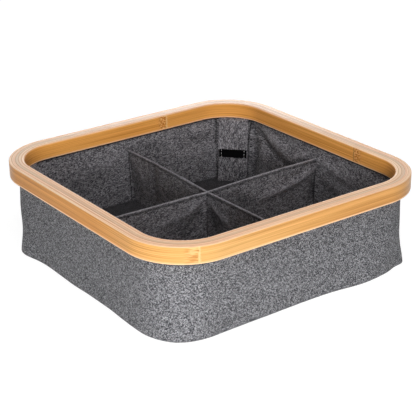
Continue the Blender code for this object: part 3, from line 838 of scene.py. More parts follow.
# Where the soft outer wall swells (+) or sinks (-): way round, height, reach along, reach up, depth
SHELL_SWELLINGS = (
    (0.456, 0.006, 0.018, 0.026, -0.0054), (0.490, 0.000, 0.020, 0.020, 0.0054),
    (0.580, 0.000, 0.030, 0.030, 0.0014), (0.690, 0.000, 0.030, 0.030, 0.0020),
    (0.740, 0.000, 0.028, 0.030, 0.0042), (0.905, 0.000, 0.045, 0.030, -0.0010),
    (0.962, 0.000, 0.032, 0.030, 0.0055), (1.010, 0.010, 0.014, 0.030, -0.0020),
    (1.027, 0.000, 0.009, 0.018, 0.0030), (1.046, 0.040, 0.016, 0.040, -0.0018),
    (0.100, 0.030, 0.050, 0.030, 0.0012), (0.300, 0.020, 0.070, 0.030, -0.0012))
# Small swells of the shell: distance from hill to hill, seed, and share of its whole wave
SHELL_SWELLS = ((0.055, 1, 1.0), (0.022, 2, 0.45))
# How far under the rim the shell is held flat, and how far down the shadow line there reaches and fades
SHELL_HELD = 0.012
SHELL_SHADOW, SHELL_SHADOW_FADE = 0.0064, 0.0016
# Rows in the turned lower edge, and the rings of the bottom as shares of its outline
TURN_STEPS = 6
BOTTOM_RINGS = (0.97, 0.9, 0.75, 0.55, 0.3, 0.1)


class BOX_OT_shell(bpy.types.Operator):
    """Sews the outer cloth: side band, turned lower edge and bottom"""

    bl_idname = "organizer_box.shell"
    bl_label = "Outer Cloth"

    def execute(self, context):
        looks = context.scene.organizer_cloth
        corner = context.scene.organizer_rim.corner_radius
        top_inset = PLY_INSETS[3]
        foot_inset = HALF_SIDE - SHELL_HIGH.x
        top_radius = corner - top_inset
        places = stations(looks.spacing, HALF_SIDE - corner)
        rows = rows_down(
            [SHELL_HIGH.z, RIM_BOTTOM, looks.shell_turn], [top_inset, top_inset, foot_inset],
            [top_radius, top_radius, looks.shell_foot_radius], looks.spacing)
        rows = closer_rows(rows, RIM_BOTTOM)
        for step in range(1, TURN_STEPS + 1):
            angle = step / TURN_STEPS * math.pi / 2
            turned = looks.shell_turn * (1 - math.cos(angle))
            height = looks.shell_turn * (1 - math.sin(angle))
            rows.append((height, foot_inset + turned, looks.shell_foot_radius - turned))
        ways = ways_round(places, top_inset, top_radius)
        whole = ways[-1] - ways[0]
        loops = []
        for height, inset, radius in rows:
            loop = np.column_stack([loop_at(places, inset, radius), np.full(len(places), height)])
            rise = min(max((RIM_BOTTOM - height) / SHELL_HELD, 0), 1)
            swell = sum(share * ripple(loop, length, seed) for length, seed, share in SHELL_SWELLS)
            swell = swell * looks.shell_wave
            for way, level, reach, reach_up, depth in SHELL_SWELLINGS:
                away = (ways[:-1] - way + whole / 2) % whole - whole / 2
                swell += depth * np.exp(-(away / reach) ** 2 - ((height - level) / reach_up) ** 2)
            out = np.column_stack([loop_at(places, inset - 0.001, radius + 0.001) - loop[:, :2],
                                   np.zeros(len(places))])
            loops.append(loop + out * 1000 * (swell * rise)[:, None])
        for shrink in BOTTOM_RINGS:
            loops.append(loops[len(rows) - 1] * (shrink, shrink, 1))
        for loop in loops[len(rows) - 1:]:
            loop[:, 2] = 0
        downs = np.cumsum([0] + [np.linalg.norm(b - a, axis=1).mean() for a, b in zip(loops, loops[1:])])
        shell = loft("cloth_shell", loops, ways, downs, "shell", cap=True)
        levels = np.array([vertex.co.z for vertex in shell.data.vertices])
        shadow = np.clip((levels - RIM_BOTTOM + SHELL_SHADOW) / SHELL_SHADOW_FADE, 0, 1)
        # Painted shadow under the rim's lower edge
        keep_values(shell.data, {"folded": -0.7 * shadow})
        thicken(shell, looks.cloth, even=True)
        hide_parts("shell_side_band", "shell_bottom_panel", "wall_felt")
        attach(shell, "cloth_box")
        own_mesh(shell)
        return {"FINISHED"}


def lining_rows(looks, corner):
    """Heights, insets and corner radii of the lining's inner face, from its top to the floor."""
    top_inset = HALF_SIDE - LINING_HIGH.x + looks.cloth
    foot_inset = HALF_SIDE - FLOOR_HIGH.x
    heights = [LINING_HIGH.z, RIM_BOTTOM, RIM_BOTTOM - looks.waist_drop, FLOOR_HIGH.z]
    insets = [top_inset, top_inset, looks.waist_inset + looks.cloth, foot_inset]
    radii = [corner - top_inset, corner - top_inset, looks.waist_radius - looks.cloth, looks.foot_radius]
    return heights, insets, radii


def lining_inset(looks, corner, height):
    """Inset of the lining's inner face at a height."""
    heights, insets, _ = lining_rows(looks, corner)
    return float(np.interp(-height, [-h for h in heights], insets))


def lining_folds(side):
    """Folds: points as (way round, height), then width and height of the fold; a negative one sinks.

    The way round starts in the middle of the right side, and each side is this long.
    """
    return (
        ([(0.118, 0.080), (0.100, 0.070), (0.080, 0.056), (0.058, 0.047), (0.040, 0.045)], 0.0042, -0.0030),
        ([(0.102, 0.080), (0.082, 0.070), (0.050, 0.060)], 0.0055, 0.0018),
        ([(0.112, 0.070), (0.106, 0.045), (0.110, 0.012)], 0.0050, -0.0024),
        ([(0.096, 0.055), (0.090, 0.030), (0.094, 0.010)], 0.0050, 0.0012),
        ([(0.010, 0.069), (0.030, 0.060), (0.052, 0.050)], 0.0040, 0.0014),
        ([(-0.008, 0.070), (-0.036, 0.060), (-0.066, 0.058)], 0.0050, 0.0016),
        ([(-0.010, 0.052), (-0.050, 0.040), (-0.085, 0.044)], 0.0070, 0.0014),
        ([(-0.030, 0.030), (-0.060, 0.022), (-0.095, 0.028)], 0.0070, -0.0012),
        ([(side - 0.120, 0.062), (side - 0.100, 0.058), (side - 0.080, 0.064)], 0.0040, -0.0014),
        ([(side - 0.122, 0.048), (side - 0.098, 0.042), (side - 0.070, 0.046)], 0.0045, 0.0012),
        ([(side - 0.118, 0.076), (side - 0.106, 0.070), (side - 0.094, 0.074)], 0.0035, 0.0010),
        ([(side - 0.010, 0.068), (side - 0.026, 0.066), (side - 0.048, 0.060)], 0.0060, -0.0018),
        ([(side - 0.020, 0.050), (side - 0.034, 0.034), (side - 0.030, 0.014)], 0.0070, 0.0012),
        ([(side + 0.008, 0.066), (side + 0.030, 0.058), (side + 0.055, 0.060)], 0.0050, 0.0014),
        ([(side + 0.030, 0.040), (side + 0.060, 0.036), (side + 0.090, 0.044)], 0.0090, -0.0012),
        ([(2 * side - 0.060, 0.070), (2 * side - 0.030, 0.050), (2 * side, 0.040)], 0.0080, 0.0016),
        ([(3 * side - 0.050, 0.072), (3 * side - 0.020, 0.054), (3 * side, 0.044)], 0.0080, 0.0016),
        ([(2 * side + 0.070, 0.076), (2 * side + 0.050, 0.055), (2 * side + 0.020, 0.046)], 0.0060, -0.0016),
        ([(3 * side + 0.070, 0.076), (3 * side + 0.048, 0.055), (3 * side + 0.020, 0.046)], 0.0060, -0.0016))


def lining_shadow_lines(side):
    """Painted shadow lines beside each strap and where each divider meets the wall: points, width and how
    dark each is.
    """
    shadow_lines = []
    for number in range(4):
        at = number * side
        shadow_lines += [([(at + 0.1190, 0.083), (at + 0.1206, 0.056), (at + 0.1228, 0.006)], 0.0011, -0.9),
                  ([(at + 0.1610, 0.083), (at + 0.1633, 0.050)], 0.0016, -0.9),
                  ([(at + 0.1628, 0.044), (at + 0.1622, 0.006)], 0.0009, -0.7),
                  ([(at, DIVIDER_HIGH.z + 0.001), (at, 0.004)], 0.0010, -0.95)]
    return shadow_lines


# Gaps from a divider to the columns of points beside it, and the angles in each corner between which
# an edge of its strap lies
DIVIDER_COLUMNS = (0.0005, 0.0010, 0.0016, 0.0023)
STRAP_EDGES = ((0.26, 0.39), (1.12, 1.23))
# Rows close above the floor, for the shadow in the foot seam
FOOT_ROWS = (0.0017, 0.0011, 0.0005, 0.0)
# How far under the rim and how far up the lining is held flat, and how much further until it hangs free
HELD_TOP, FREE_TOP = 0.004, 0.010
HELD_FOOT, FREE_FOOT = 0.004, 0.006
# Small swells of the lining: distance from hill to hill, seed and height
LINING_SWELLS = ((0.045, 3, 0.0006), (0.016, 4, 0.00022))
# Height of the shadow in the foot seam, and how far down the one under the rim reaches and fades
FOOT_SHADOW = 0.0009
TOP_SHADOW, TOP_SHADOW_FADE = 0.0026, 0.0010
# Painted shade and highlight on a fold for its height, and their limits
FOLD_SHADE, FOLD_DARKEST, FOLD_PALEST = 260, -0.75, 0.45
# How far the floor sags, how much that changes, and the share of its size inside which it sags
FLOOR_SAG, FLOOR_UNEVEN, FLOOR_FLAT = 0.0005, 0.0001, 0.97


def make_lining_wall(looks, corner):
    """The inner wall of the lining, with its folds, their painted shade and highlight, and painted shadow
    lines. Gives its foot and the ways round it.
    """
    centre = HALF_SIDE - corner
    finer = [(sign * gap / centre, 0.0) for gap in DIVIDER_COLUMNS for sign in (-1, 1)]
    for start, end in STRAP_EDGES:
        finer += [(1.0, angle) for angle in np.arange(start, end, 0.012)]
    places = stations(looks.spacing, centre, finer)
    rows = rows_down(*lining_rows(looks, corner), looks.spacing * 0.75)
    rows = closer_rows(rows, RIM_BOTTOM)
    last = rows[-1]
    rows[-1:] = [(last[0] + lift, *last[1:]) for lift in FOOT_ROWS]
    ways = ways_round(places, looks.waist_inset, looks.waist_radius)
    whole = ways[-1] - ways[0]
    folds = lining_folds(whole / 4)
    shadow_lines = lining_shadow_lines(whole / 4)
    loops = []
    shading_rows = []
    for height, inset, radius in rows:
        loop = np.column_stack([loop_at(places, inset, radius), np.full(len(places), height)])
        free = min(max((RIM_BOTTOM - HELD_TOP - height) / FREE_TOP, 0), 1)
        free *= min((height - HELD_FOOT) / FREE_FOOT, 1)
        swell = sum(ripple(loop, length, seed) * high for length, seed, high in LINING_SWELLS)
        up = np.full(len(places), height)
        draped = np.zeros(len(places))
        shadow_line_shade = np.zeros(len(places))
        for turn in (-whole, 0, whole):
            for line, width, depth in folds:
                draped += crease(ways[:-1] + turn, up, line, width, depth)
            for line, width, depth in shadow_lines:
                shadow_line_shade = np.minimum(shadow_line_shade, crease(ways[:-1] + turn, up, line, width, depth, taper=False))
        swell += draped
        # Painted shadows in the foot seam and under the rim, painted shade and highlight on the folds, and
        # the painted shadow lines
        shadow = -0.9 * math.exp(-((height - FLOOR_HIGH.z) / FOOT_SHADOW) ** 2)
        shadow -= min(max((height - RIM_BOTTOM + TOP_SHADOW) / TOP_SHADOW_FADE, 0), 1)
        shade = np.clip(draped * FOLD_SHADE, FOLD_DARKEST, FOLD_PALEST)
        shading_rows.append(np.maximum(shade + shadow_line_shade + shadow, -1))
        inward = np.column_stack([loop_at(places, inset + 0.001, radius - 0.001) - loop[:, :2],
                                  np.zeros(len(places))]) * 1000
        loops.append(loop + inward * (swell * free)[:, None])
    downs = np.cumsum([0] + [np.linalg.norm(b - a, axis=1).mean() for a, b in zip(loops, loops[1:])])
    wall = loft("lining_wall", [loop[::-1] for loop in loops], ways[::-1], downs, "lining")
    keep_values(wall.data, {"folded": np.concatenate([numbers[::-1] for numbers in shading_rows])})
    thicken(wall, looks.cloth)
    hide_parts("lining_side_band")
    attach(wall, "cloth_box")
    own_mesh(wall)
    return loops[-1], ways


def make_lining_floor(looks, foot, ways):
    """The floor of the lining, from the foot of its wall to the middle: it sags a little. Its cloth is
    darkened as painted shade.
    """
    rings = []
    for shrink in (1.0, 0.995, 0.985, *np.linspace(FLOOR_FLAT, 0.001, 39)):
        ring = foot * (shrink, shrink, 0)
        ring[:, 2] = FLOOR_HIGH.z
        sag = FLOOR_SAG - ripple(ring, 0.05, 6) * FLOOR_UNEVEN
        edge = 1 - min(max((shrink - FLOOR_FLAT) / (1 - FLOOR_FLAT), 0), 1)
        ring[:, 2] -= sag * edge
        rings.append(ring)
    steps = np.cumsum([0] + [np.linalg.norm(b - a, axis=1).mean() for a, b in zip(rings, rings[1:])])
    floor = loft("lining_floor", [ring[::-1] for ring in rings][::-1], ways, steps, "shaded_floor_cloth")
    weave = floor.data.uv_layers["weave"]
    for loop in floor.data.loops:
        weave.data[loop.index].uv = floor.data.vertices[loop.vertex_index].co.to_2d()
    thicken(floor, looks.cloth / 2)
    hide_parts("lining_floor_panel")
    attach(floor, "cloth_box")


class BOX_OT_lining(bpy.types.Operator):
    """Sews the lining: inner wall with its folds, and the floor"""

    bl_idname = "organizer_box.lining"
    bl_label = "Lining"

    def execute(self, context):
        looks = context.scene.organizer_cloth
        foot, ways = make_lining_wall(looks, context.scene.organizer_rim.corner_radius)
        make_lining_floor(looks, foot, ways)
        return {"FINISHED"}


def tube(name, rings, across, material):
    """Closed rings joined end to end and capped: a solid strip. across gives the map round a ring."""
    count = len(rings[0])
    points = [tuple(point) for ring in rings for point in ring]
    faces = []
    for ring in range(len(rings) - 1):
        for at in range(count):
            after = (at + 1) % count
            here, there = ring * count, (ring + 1) * count
            faces.append((here + at, here + after, there + after, there + at))
    faces.append(tuple(range(count))[::-1])
    faces.append(tuple((len(rings) - 1) * count + at for at in range(count)))
    mesh = bpy.data.meshes.new(name)
    mesh.from_pydata(points, [], faces)
    middles = [Vector(np.mean(ring, axis=0)) for ring in rings]
    along = np.cumsum([0] + [(b - a).length for a, b in zip(middles, middles[1:])])
    weave = mesh.uv_layers.new(name="weave")
    for polygon in mesh.polygons:
        if polygon.index >= count * (len(rings) - 1):
            for loop in polygon.loop_indices:
                weave.data[loop].uv = (0, 0)
            continue
        ring, at = divmod(polygon.index, count)
        for loop, (over, on) in zip(polygon.loop_indices, ((0, 0), (0, 1), (1, 1), (1, 0))):
            weave.data[loop].uv = (along[ring + over], across[at + on])
    mesh.shade_smooth()
    mesh.set_sharp_from_angle(angle=math.radians(60))
    return new_object(name, mesh, material)


# How far from a hem's seam the cloth is pinched and by what share, and how far under the top its painted
# highlight reaches
PINCH_REACH, PINCH_SHARE, CREST_REACH = 0.0012, 0.4, 0.0015
# The painted shade line in the hem's seam: how far under the top it lies, and its half width
SEAM_LINE, SEAM_LINE_WIDTH = 0.0028, 0.0008


def divider_section(looks, top, foot):
    """Half of a divider's section, from its foot up to its top: (half thickness, height)."""
    section = []
    steps = math.ceil((top - looks.hem_depth - foot) / looks.spacing)
    for step in range(steps + 1):
        height = foot + step / steps * (top - looks.hem_depth - foot)
        near_seam = math.exp(-((top - looks.hem_depth - height) / PINCH_REACH) ** 2)
        section.append((looks.divider_half * (1 - PINCH_SHARE * near_seam), height))
    middle = top - looks.hem_half
    section.append((looks.divider_half * 0.95, top - looks.hem_depth + 0.0005))
    section.append((looks.hem_half * 0.95, middle - 0.0006))
    for step in range(6):
        angle = step / 6 * math.pi / 2
        section.append((looks.hem_half * math.cos(angle), middle + looks.hem_half * math.sin(angle)))
    return section


def hem_painted_shading(section):
    """Painted shading at each point of a divider's section: a highlight of 1 on its top, shade of -1 in its
    seam.
    """
    top = section[-1][1]
    folded = []
    for _, height in section:
        below = top - height
        crest_highlight = max(0.0, 1 - below / CREST_REACH)
        seam = math.exp(-((below - SEAM_LINE) / SEAM_LINE_WIDTH) ** 2)
        folded.append(crest_highlight - 0.9 * seam)
    return folded


# How the folds of each arm run: points as (along the arm, height), then width and push aside
DIVIDER_FOLDS = {
    "right": (
        ([(0.1510, 0.058), (0.137, 0.052), (0.123, 0.047), (0.101, 0.043), (0.070, 0.040)], 0.0028, -0.0036),
        ([(0.1510, 0.0500), (0.149, 0.034), (0.146, 0.014)], 0.0060, 0.0030),
        ([(0.149, 0.0630), (0.130, 0.057), (0.108, 0.053)], 0.0022, 0.0016),
        ([(0.030, 0.060), (0.045, 0.045), (0.060, 0.020)], 0.0080, 0.0018),
        ([(0.090, 0.060), (0.100, 0.030), (0.104, 0.010)], 0.0100, -0.0010)),
    "back": (
        ([(0.146, 0.060), (0.130, 0.045), (0.122, 0.020)], 0.0070, 0.0014),
        ([(0.100, 0.064), (0.104, 0.040), (0.100, 0.014)], 0.0060, -0.0022),
        ([(0.020, 0.055), (0.040, 0.040), (0.055, 0.015)], 0.0070, 0.0016)),
    "left": (
        ([(0.004, 0.060), (0.030, 0.048), (0.070, 0.046)], 0.0050, 0.0020),
        ([(0.004, 0.052), (0.026, 0.030), (0.040, 0.010)], 0.0060, -0.0020),
        ([(0.060, 0.040), (0.080, 0.030), (0.100, 0.008)], 0.0070, 0.0018)),
    "front": (
        ([(0.003, 0.058), (0.022, 0.048), (0.045, 0.040)], 0.0040, -0.0020),
        ([(0.003, 0.050), (0.014, 0.030), (0.022, 0.008)], 0.0050, 0.0020),
        ([(0.036, 0.060), (0.030, 0.040), (0.034, 0.014)], 0.0050, -0.0012)),
}
# How far each arm's foot drifts aside towards the wall, and how far its middle bows aside
DIVIDER_DRIFTS = {"right": 0.0, "back": -0.0050, "left": 0.0010, "front": 0.0010}
DIVIDER_BOWS = {"right": 0.0008, "back": -0.0012, "left": 0.0010, "front": -0.0010}
# The arms along one axis start at the cross's middle, the two others beside their thickness
DIVIDER_STARTS = {"right": 0.0007, "back": 0.0001, "left": 0.0007, "front": 0.0001}
# How far the hem hangs down in the middle of the cross
CROSS_SAG = 0.002
# Gaps of the finer rings at both ends of an arm, and how far the painted shade at its end seams reaches
END_RINGS = (0.0004, 0.0009, 0.0015, 0.0022)
END_SHADOW = 0.0009
# How high over its foot an arm moves freely, over which shares of its length at the cross and at the wall,
# and the share by which it still moves at the wall
FREE_HEIGHT, FREE_AT_CROSS, FREE_AT_WALL, WALL_SHARE = 0.010, 0.06, 0.02, 0.3
# How far under its top an arm has drifted aside in full
DRIFT_HEIGHT = 0.045
# Painted shade and highlight on a fold of an arm for its depth, and their limits
ARM_SHADE, ARM_DARKEST, ARM_PALEST = 230, -0.75, 0.5
# How far an arm stops short of the lining, and small swells: from hill to hill, first seed, and height
WALL_GAP = 0.0002
ARM_SWELL, ARM_SEED, ARM_SWELL_HIGH = 0.045, 8, 0.0008


def divider_ring(looks, corner, side, share):
    """One ring round a divider at this share of its length: its points, its painted shading, and its hem
    seam's points.
    """
    turn = math.radians(SIDES[side])
    out = Vector((math.cos(turn), math.sin(turn), 0))
    aside = Vector((-math.sin(turn), math.cos(turn), 0))
    foot, top = DIVIDER_LOW.z, DIVIDER_HIGH.z
    start = DIVIDER_STARTS[side]
    sag = CROSS_SAG * (1 - share) ** 2
    half = divider_section(looks, top - sag, foot)
    heights = np.array([height for _, height in half])
    ends = np.array([HALF_SIDE - lining_inset(looks, corner, height) - WALL_GAP for height in heights])
    reach = start + share * (ends - start)
    lift = np.clip((heights - foot) / FREE_HEIGHT, 0, 1)
    draped = sum(crease(reach, heights, *fold) for fold in DIVIDER_FOLDS[side])
    middle = [out * way + Vector((0, 0, height)) for way, height in zip(reach, heights)]
    waves = ripple(middle, ARM_SWELL, ARM_SEED + SIDES[side] / 90) * ARM_SWELL_HIGH
    push = draped + waves * math.sin(math.pi * share)
    push = push + DIVIDER_BOWS[side] * math.sin(math.pi * share)
    push = push * lift * min(1, share / FREE_AT_CROSS) * min(1, (1 - share) / FREE_AT_WALL + WALL_SHARE)
    push = push + DIVIDER_DRIFTS[side] * share ** 3 * np.clip((top - heights) / DRIFT_HEIGHT, 0, 1)
    gaps = ((1 - share) * DIVIDER_HIGH.x, share * DIVIDER_HIGH.x)
    end_shade = min(1.0, sum(math.exp(-(gap / END_SHADOW) ** 2) for gap in gaps))
    hem_shading = hem_painted_shading(half)
    ring = []
    folded = []
    for sign, order in ((1, range(len(half))), (-1, range(len(half))[::-1])):
        for at in order:
            ring.append(middle[at] + aside * (sign * half[at][0] + push[at]))
            fold_shading = float(np.clip(sign * draped[at] * ARM_SHADE, ARM_DARKEST, ARM_PALEST))
            # Painted shading: the hem's highlight and seam shade, shade and highlight on the folds, and shade
            # at the end seams
            folded.append(max(hem_shading[at] + fold_shading * (hem_shading[at] < 0.3) - 0.95 * end_shade, -1.0))
    seam = math.ceil((top - sag - looks.hem_depth - foot) / looks.spacing)
    stitched = [middle[seam] + aside * (sign * looks.divider_half * 0.75 + push[seam]) for sign in (1, -1)]
    return ring, folded, stitched


class BOX_OT_dividers(bpy.types.Operator):
    """Sews the four arms of the cross, with their hems and tension folds"""

    bl_idname = "organizer_box.dividers"
    bl_label = "Dividers"

    def execute(self, context):
        looks = context.scene.organizer_cloth
        corner = context.scene.organizer_rim.corner_radius
        foot, top = DIVIDER_LOW.z, DIVIDER_HIGH.z
        steps = math.ceil(DIVIDER_HIGH.x / looks.spacing)
        shares = [step / steps for step in range(steps + 1)]
        shares += [gap / DIVIDER_HIGH.x for gap in END_RINGS]
        shares += [1 - gap / DIVIDER_HIGH.x for gap in END_RINGS]
        hems = {}
        for side in SIDES:
            rings, folded, hems[side] = zip(
                *(divider_ring(looks, corner, side, share) for share in sorted(shares)))
            lengths = [math.dist(a, b) for a, b in zip(rings[0], rings[0][1:] + rings[0][:1])]
            arm = tube("soft_divider_" + side, rings, np.cumsum([0] + lengths), "lining")
            keep_values(arm.data, {"folded": sum(folded, [])})
            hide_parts("divider_" + side)
            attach(arm, "cloth_box")
            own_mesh(arm)
        for side, hem in hems.items():
            rows = [[pair[number] for pair in hem[1:-1]] for number in range(2)]
            sew("hem_stitches_" + side, rows, "cloth_box", foot)
        return {"FINISHED"}


def sew(name, rows, body, foot=None, material="thread"):
    """Rows of stitches along lists of points, riding on a body; with a foot they get a mesh of their own, as
    the lining's pieces do.
    """
    looks = bpy.context.scene.organizer_strap
    curve = bpy.data.curves.new(name, "CURVE")
    curve.dimensions = "3D"
    for row in rows:
        spline = curve.splines.new("POLY")
        spline.points.add(len(row) - 1)
        for point, place in zip(spline.points, row):
            point.co = (*place, 1)
    holder = bpy.data.objects.new(name + "_path", curve)
    bpy.context.scene.collection.objects.link(holder)
    tree = bpy.data.node_groups.get("Stitch row") or stitch_row_tree()
    run_tree(holder, tree, {
        "Pitch": looks.stitch_pitch, "Length": looks.stitch_length, "Width": looks.stitch_width,
        "Material": materials[material]})
    mesh = bpy.data.meshes.new_from_object(holder.evaluated_get(bpy.context.evaluated_depsgraph_get()))
    bpy.data.objects.remove(holder, do_unlink=True)
    stitches = new_object(name, mesh, material)
    mesh.shade_smooth()
    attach(stitches, body)
    if foot is not None:
        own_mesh(stitches)


# How far each corner's strap is turned about its own length, in radians
TWISTS = {"back_right": 0.10, "back_left": -0.015, "front_left": 0.02, "front_right": 0.04}
# How far the loop tape's solid is passed at each side, at its foot, and towards the middle of the box
TAPE_WIDER, TAPE_LONGER, TAPE_PROUD = 0.0020, 0.0010, 0.0003
# How far the painted shade at a strip's very edge reaches, and where the painted highlight line beside it
# lies and how wide it is
SHADED_EDGE = 0.0004
HIGHLIGHT_LINE, HIGHLIGHT_LINE_WIDTH = 0.0012, 0.0006
# Shares of a strip's width that its section has points at, closer together near both edges
STRIP_SHARES = (0.0, 0.02, 0.04, 0.06, *(step / 24 for step in range(2, 23)), 0.94, 0.96, 0.98, 1.0)
# How far in from the edges of a strap or tape its seams run, and how high over a strap's end the last one is
STRAP_SEAM, TAPE_SEAM, END_SEAM = 0.0022, 0.0010, 0.0045
# The hem at the strap's end: its height, and how much thicker it is
STRAP_HEM, HEM_THICKER = 0.0055, 0.35
# How the strap's top bends out under the rim: how far over its solid's end, and its share of the tuck
STRAP_BEND = ((0.0024, 1.0), (0.0022, 0.6), (0.0014, 0.3))
# How wide the strap's edges are thicker and curl in, how far they curl, and how far the strap waves
STRAP_EDGE, STRAP_CURL, STRAP_WAVE = 0.003, 0.0005, 0.0004
# How far a pocket swells over its slat and how far it waves, and the share of both on its front
POCKET_SWELL, POCKET_WAVE, POCKET_FRONT = 0.0004, 0.0004, 0.3
# The hemmed mouth of a pocket: its height, and how much thicker each layer is
MOUTH_HIGH, MOUTH_THICKER = 0.004, 0.0002


class Strip:
    """The place of a flat CAD strip: the ways across, up and out to the corner, its reach and its size."""

    def __init__(self, node, joint):
        twist = TWISTS[next(corner for corner in CORNERS if node.endswith(corner))]
        points = np.array([vertex.co for vertex in frame["nodes"][node].data.vertices])
        self.across = Vector(JOINTS[joint]["axis"]).normalized()
        outward = Vector((*np.mean(points, axis=0)[:2], 0))
        if self.across.cross(Vector((0, 0, 1))).dot(outward) > 0:
            self.across = -self.across
        flat = points - np.outer(points @ np.array(self.across), self.across)
        centred = flat - flat.mean(axis=0)
        self.up = Vector(np.linalg.svd(centred, full_matrices=False)[2][0])
        if self.up.z < 0:
            self.up = -self.up
        self.out = self.up.cross(self.across).normalized()
        if self.out.dot(outward) < 0:
            self.out = -self.out
        lows, highs = [], []
        for axis in (self.across, self.up, self.out):
            reach = points @ np.array(axis)
            lows.append(reach.min())
            highs.append(reach.max())
        self.low, self.high = lows, highs
        self.width, self.length, self.thickness = (high - low for low, high in zip(lows, highs))
        # A twisted strap stands further back, so that its tape's edge clears the floor when it folds
        self.set_back = abs(math.sin(twist)) * (self.width / 2 + TAPE_WIDER)
        self.twisted_across = self.across * math.cos(twist) - self.out * math.sin(twist)
        self.twisted_out = self.out * math.cos(twist) + self.across * math.sin(twist)

    def at(self, across, up, out):
        """The point this far across from the middle, up from the lower end and out from the inner face."""
        middle = self.across * (self.low[0] + self.high[0]) / 2 + self.out * (self.low[2] + self.set_back)
        foot = middle + self.up * (self.low[1] + up)
        return foot + self.twisted_across * across + self.twisted_out * out


def edge_painted_shading(section, width, rings, painted_light=0.0):
    """Painted shading at each point of a strip: shade at its very edge, a highlight line beside it."""
    ring = []
    for across, _ in section:
        from_edge = width / 2 - abs(across)
        beside = 0.25 * math.exp(-((from_edge - HIGHLIGHT_LINE) / HIGHLIGHT_LINE_WIDTH) ** 2)
        ring.append(-0.9 if from_edge < SHADED_EDGE else painted_light + beside)
    return ring * rings


def flat_ring(width, low, high, roll):
    """Section of a strip with rolled edges: (across, out) points, and the way round for the map."""
    half = width / 2 - roll
    middle = (low + high) / 2
    depth = (high - low) / 2
    ring = []
    for side, level in ((1, low), (-1, high)):
        ring += [(side * (-half + 2 * half * share), level) for share in STRIP_SHARES]
        for step in range(1, 6):
            angle = -side * math.pi / 2 + step / 6 * math.pi
            ring.append((side * half + roll * math.cos(angle), middle + depth * math.sin(angle)))
    lengths = [math.dist(a, b) for a, b in zip(ring, ring[1:] + ring[:1])]
    return ring, np.cumsum([0] + lengths)


def make_flap(corner, number, looks):
    """The hanging strap: tucked out under the rim, hemmed at its end, a little wavy."""
    strip = Strip("flap_cloth_" + corner, "flap_open_" + corner)
    section, across = flat_ring(strip.width, -looks.flap_thickness / 2, looks.flap_thickness / 2, 0.0006)
    stops = [(strip.length + over, looks.flap_tuck * share) for over, share in STRAP_BEND]
    stops += [(strip.length - 0.0004, 0.0008), (strip.length - 0.003, 0.0)]
    stops += [(strip.length - 0.003 - share * (strip.length - 0.0034), 0.0)
              for share in np.linspace(0.05, 1, 22)]
    rings = []
    for up, out in stops:
        hem = 1 + HEM_THICKER * (up < STRAP_HEM)
        ring = []
        for a, o in section:
            edge = max(0, abs(a) - strip.width / 2 + STRAP_EDGE) / STRAP_EDGE
            wave = noise.noise(Vector((a * 60, up * 50, number * 3.3))) * STRAP_WAVE
            thick = o * hem * (1 + 0.3 * edge)
            ring.append(strip.at(a, up, strip.thickness / 2 + out + thick + wave - STRAP_CURL * edge))
        rings.append(ring)
    flap = tube("hanging_flap_" + corner, rings, across, "lining")
    # Painted light: the whole flap is made a little paler, as it faces the lamps, with painted shade at its
    # edges and a highlight line beside them
    keep_values(flap.data, {"folded": edge_painted_shading(section, strip.width, len(rings), 0.10)})
    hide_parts("flap_cloth_" + corner)
    hinge = Vector(JOINTS["flap_open_" + corner]["pos_m"])
    above, below = hinge.copy(), hinge.copy()
    above.z, below.z = RIM_BOTTOM, hinge.z - 0.003
    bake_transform(flap)
    rows = []
    for side in (-1, 1):
        rows.append([strip.at(side * (strip.width / 2 - STRAP_SEAM), up, -looks.flap_thickness * 0.35)
                     for up in (0.004, 0.012, 0.020, strip.length - 0.005)])
    rows.append([strip.at(a, END_SEAM, -looks.flap_thickness * 0.55)
                 for a in np.linspace(-strip.width / 2 + 0.003, strip.width / 2 - 0.003, 6)])
    sew("flap_stitches_" + corner, rows, "flap_" + corner)


def make_strip(name, node, joint, body, material, wider=0.0, longer=0.0, proud=0.0):
    """A flat strip in the place of its solid, and a little larger where these say so. Gives its place."""
    strip = Strip(node, joint)
    section, across = flat_ring(strip.width + wider, -proud, strip.thickness, 0.0002)
    rings = [[strip.at(a, up, o + noise.noise(Vector((a * 90, up * 90, 0.5))) * 0.0001)
              for a, o in section] for up in np.linspace(-longer, strip.length, 9)]
    piece = tube(name, rings, across, material)
    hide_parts(node)
    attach(piece, body)
    return strip


def make_pocket(corner, number):
    """The sleeve that holds the slat: two layers sewn down both sides, its mouth hemmed."""
    front = Strip("stay_pocket_front_" + corner, "stay_fold_" + corner)
    back = Strip("stay_pocket_back_" + corner, "stay_fold_" + corner)
    depth = back.high[2] - front.low[2]
    section, across = flat_ring(front.width, 0, depth, depth / 2)
    rings = []
    for up in np.linspace(0, front.length, 26):
        ring = []
        mouth = max(0, 1 - (front.length - up) / MOUTH_HIGH)
        for a, o in section:
            away = 1 if o > depth / 2 else -1
            soft = noise.noise(Vector((a * 45, up * 40, number * 7.7))) * POCKET_WAVE
            bulge = POCKET_SWELL * math.cos(math.pi * a / front.width) * away
            if o < depth / 2:
                bulge, soft = bulge * POCKET_FRONT, soft * POCKET_FRONT
            ring.append(front.at(a, up, o + soft + bulge + mouth * MOUTH_THICKER * away))
        rings.append(ring)
    sleeve = tube("slat_pocket_" + corner, rings[::-1], across, "lining")
    # Painted shade at the sleeve's edges, and a painted highlight line beside them
    keep_values(sleeve.data, {"folded": edge_painted_shading(section, front.width, len(rings))})
    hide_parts("stay_pocket_front_" + corner, "stay_pocket_back_" + corner)
    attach(sleeve, "stay_" + corner)


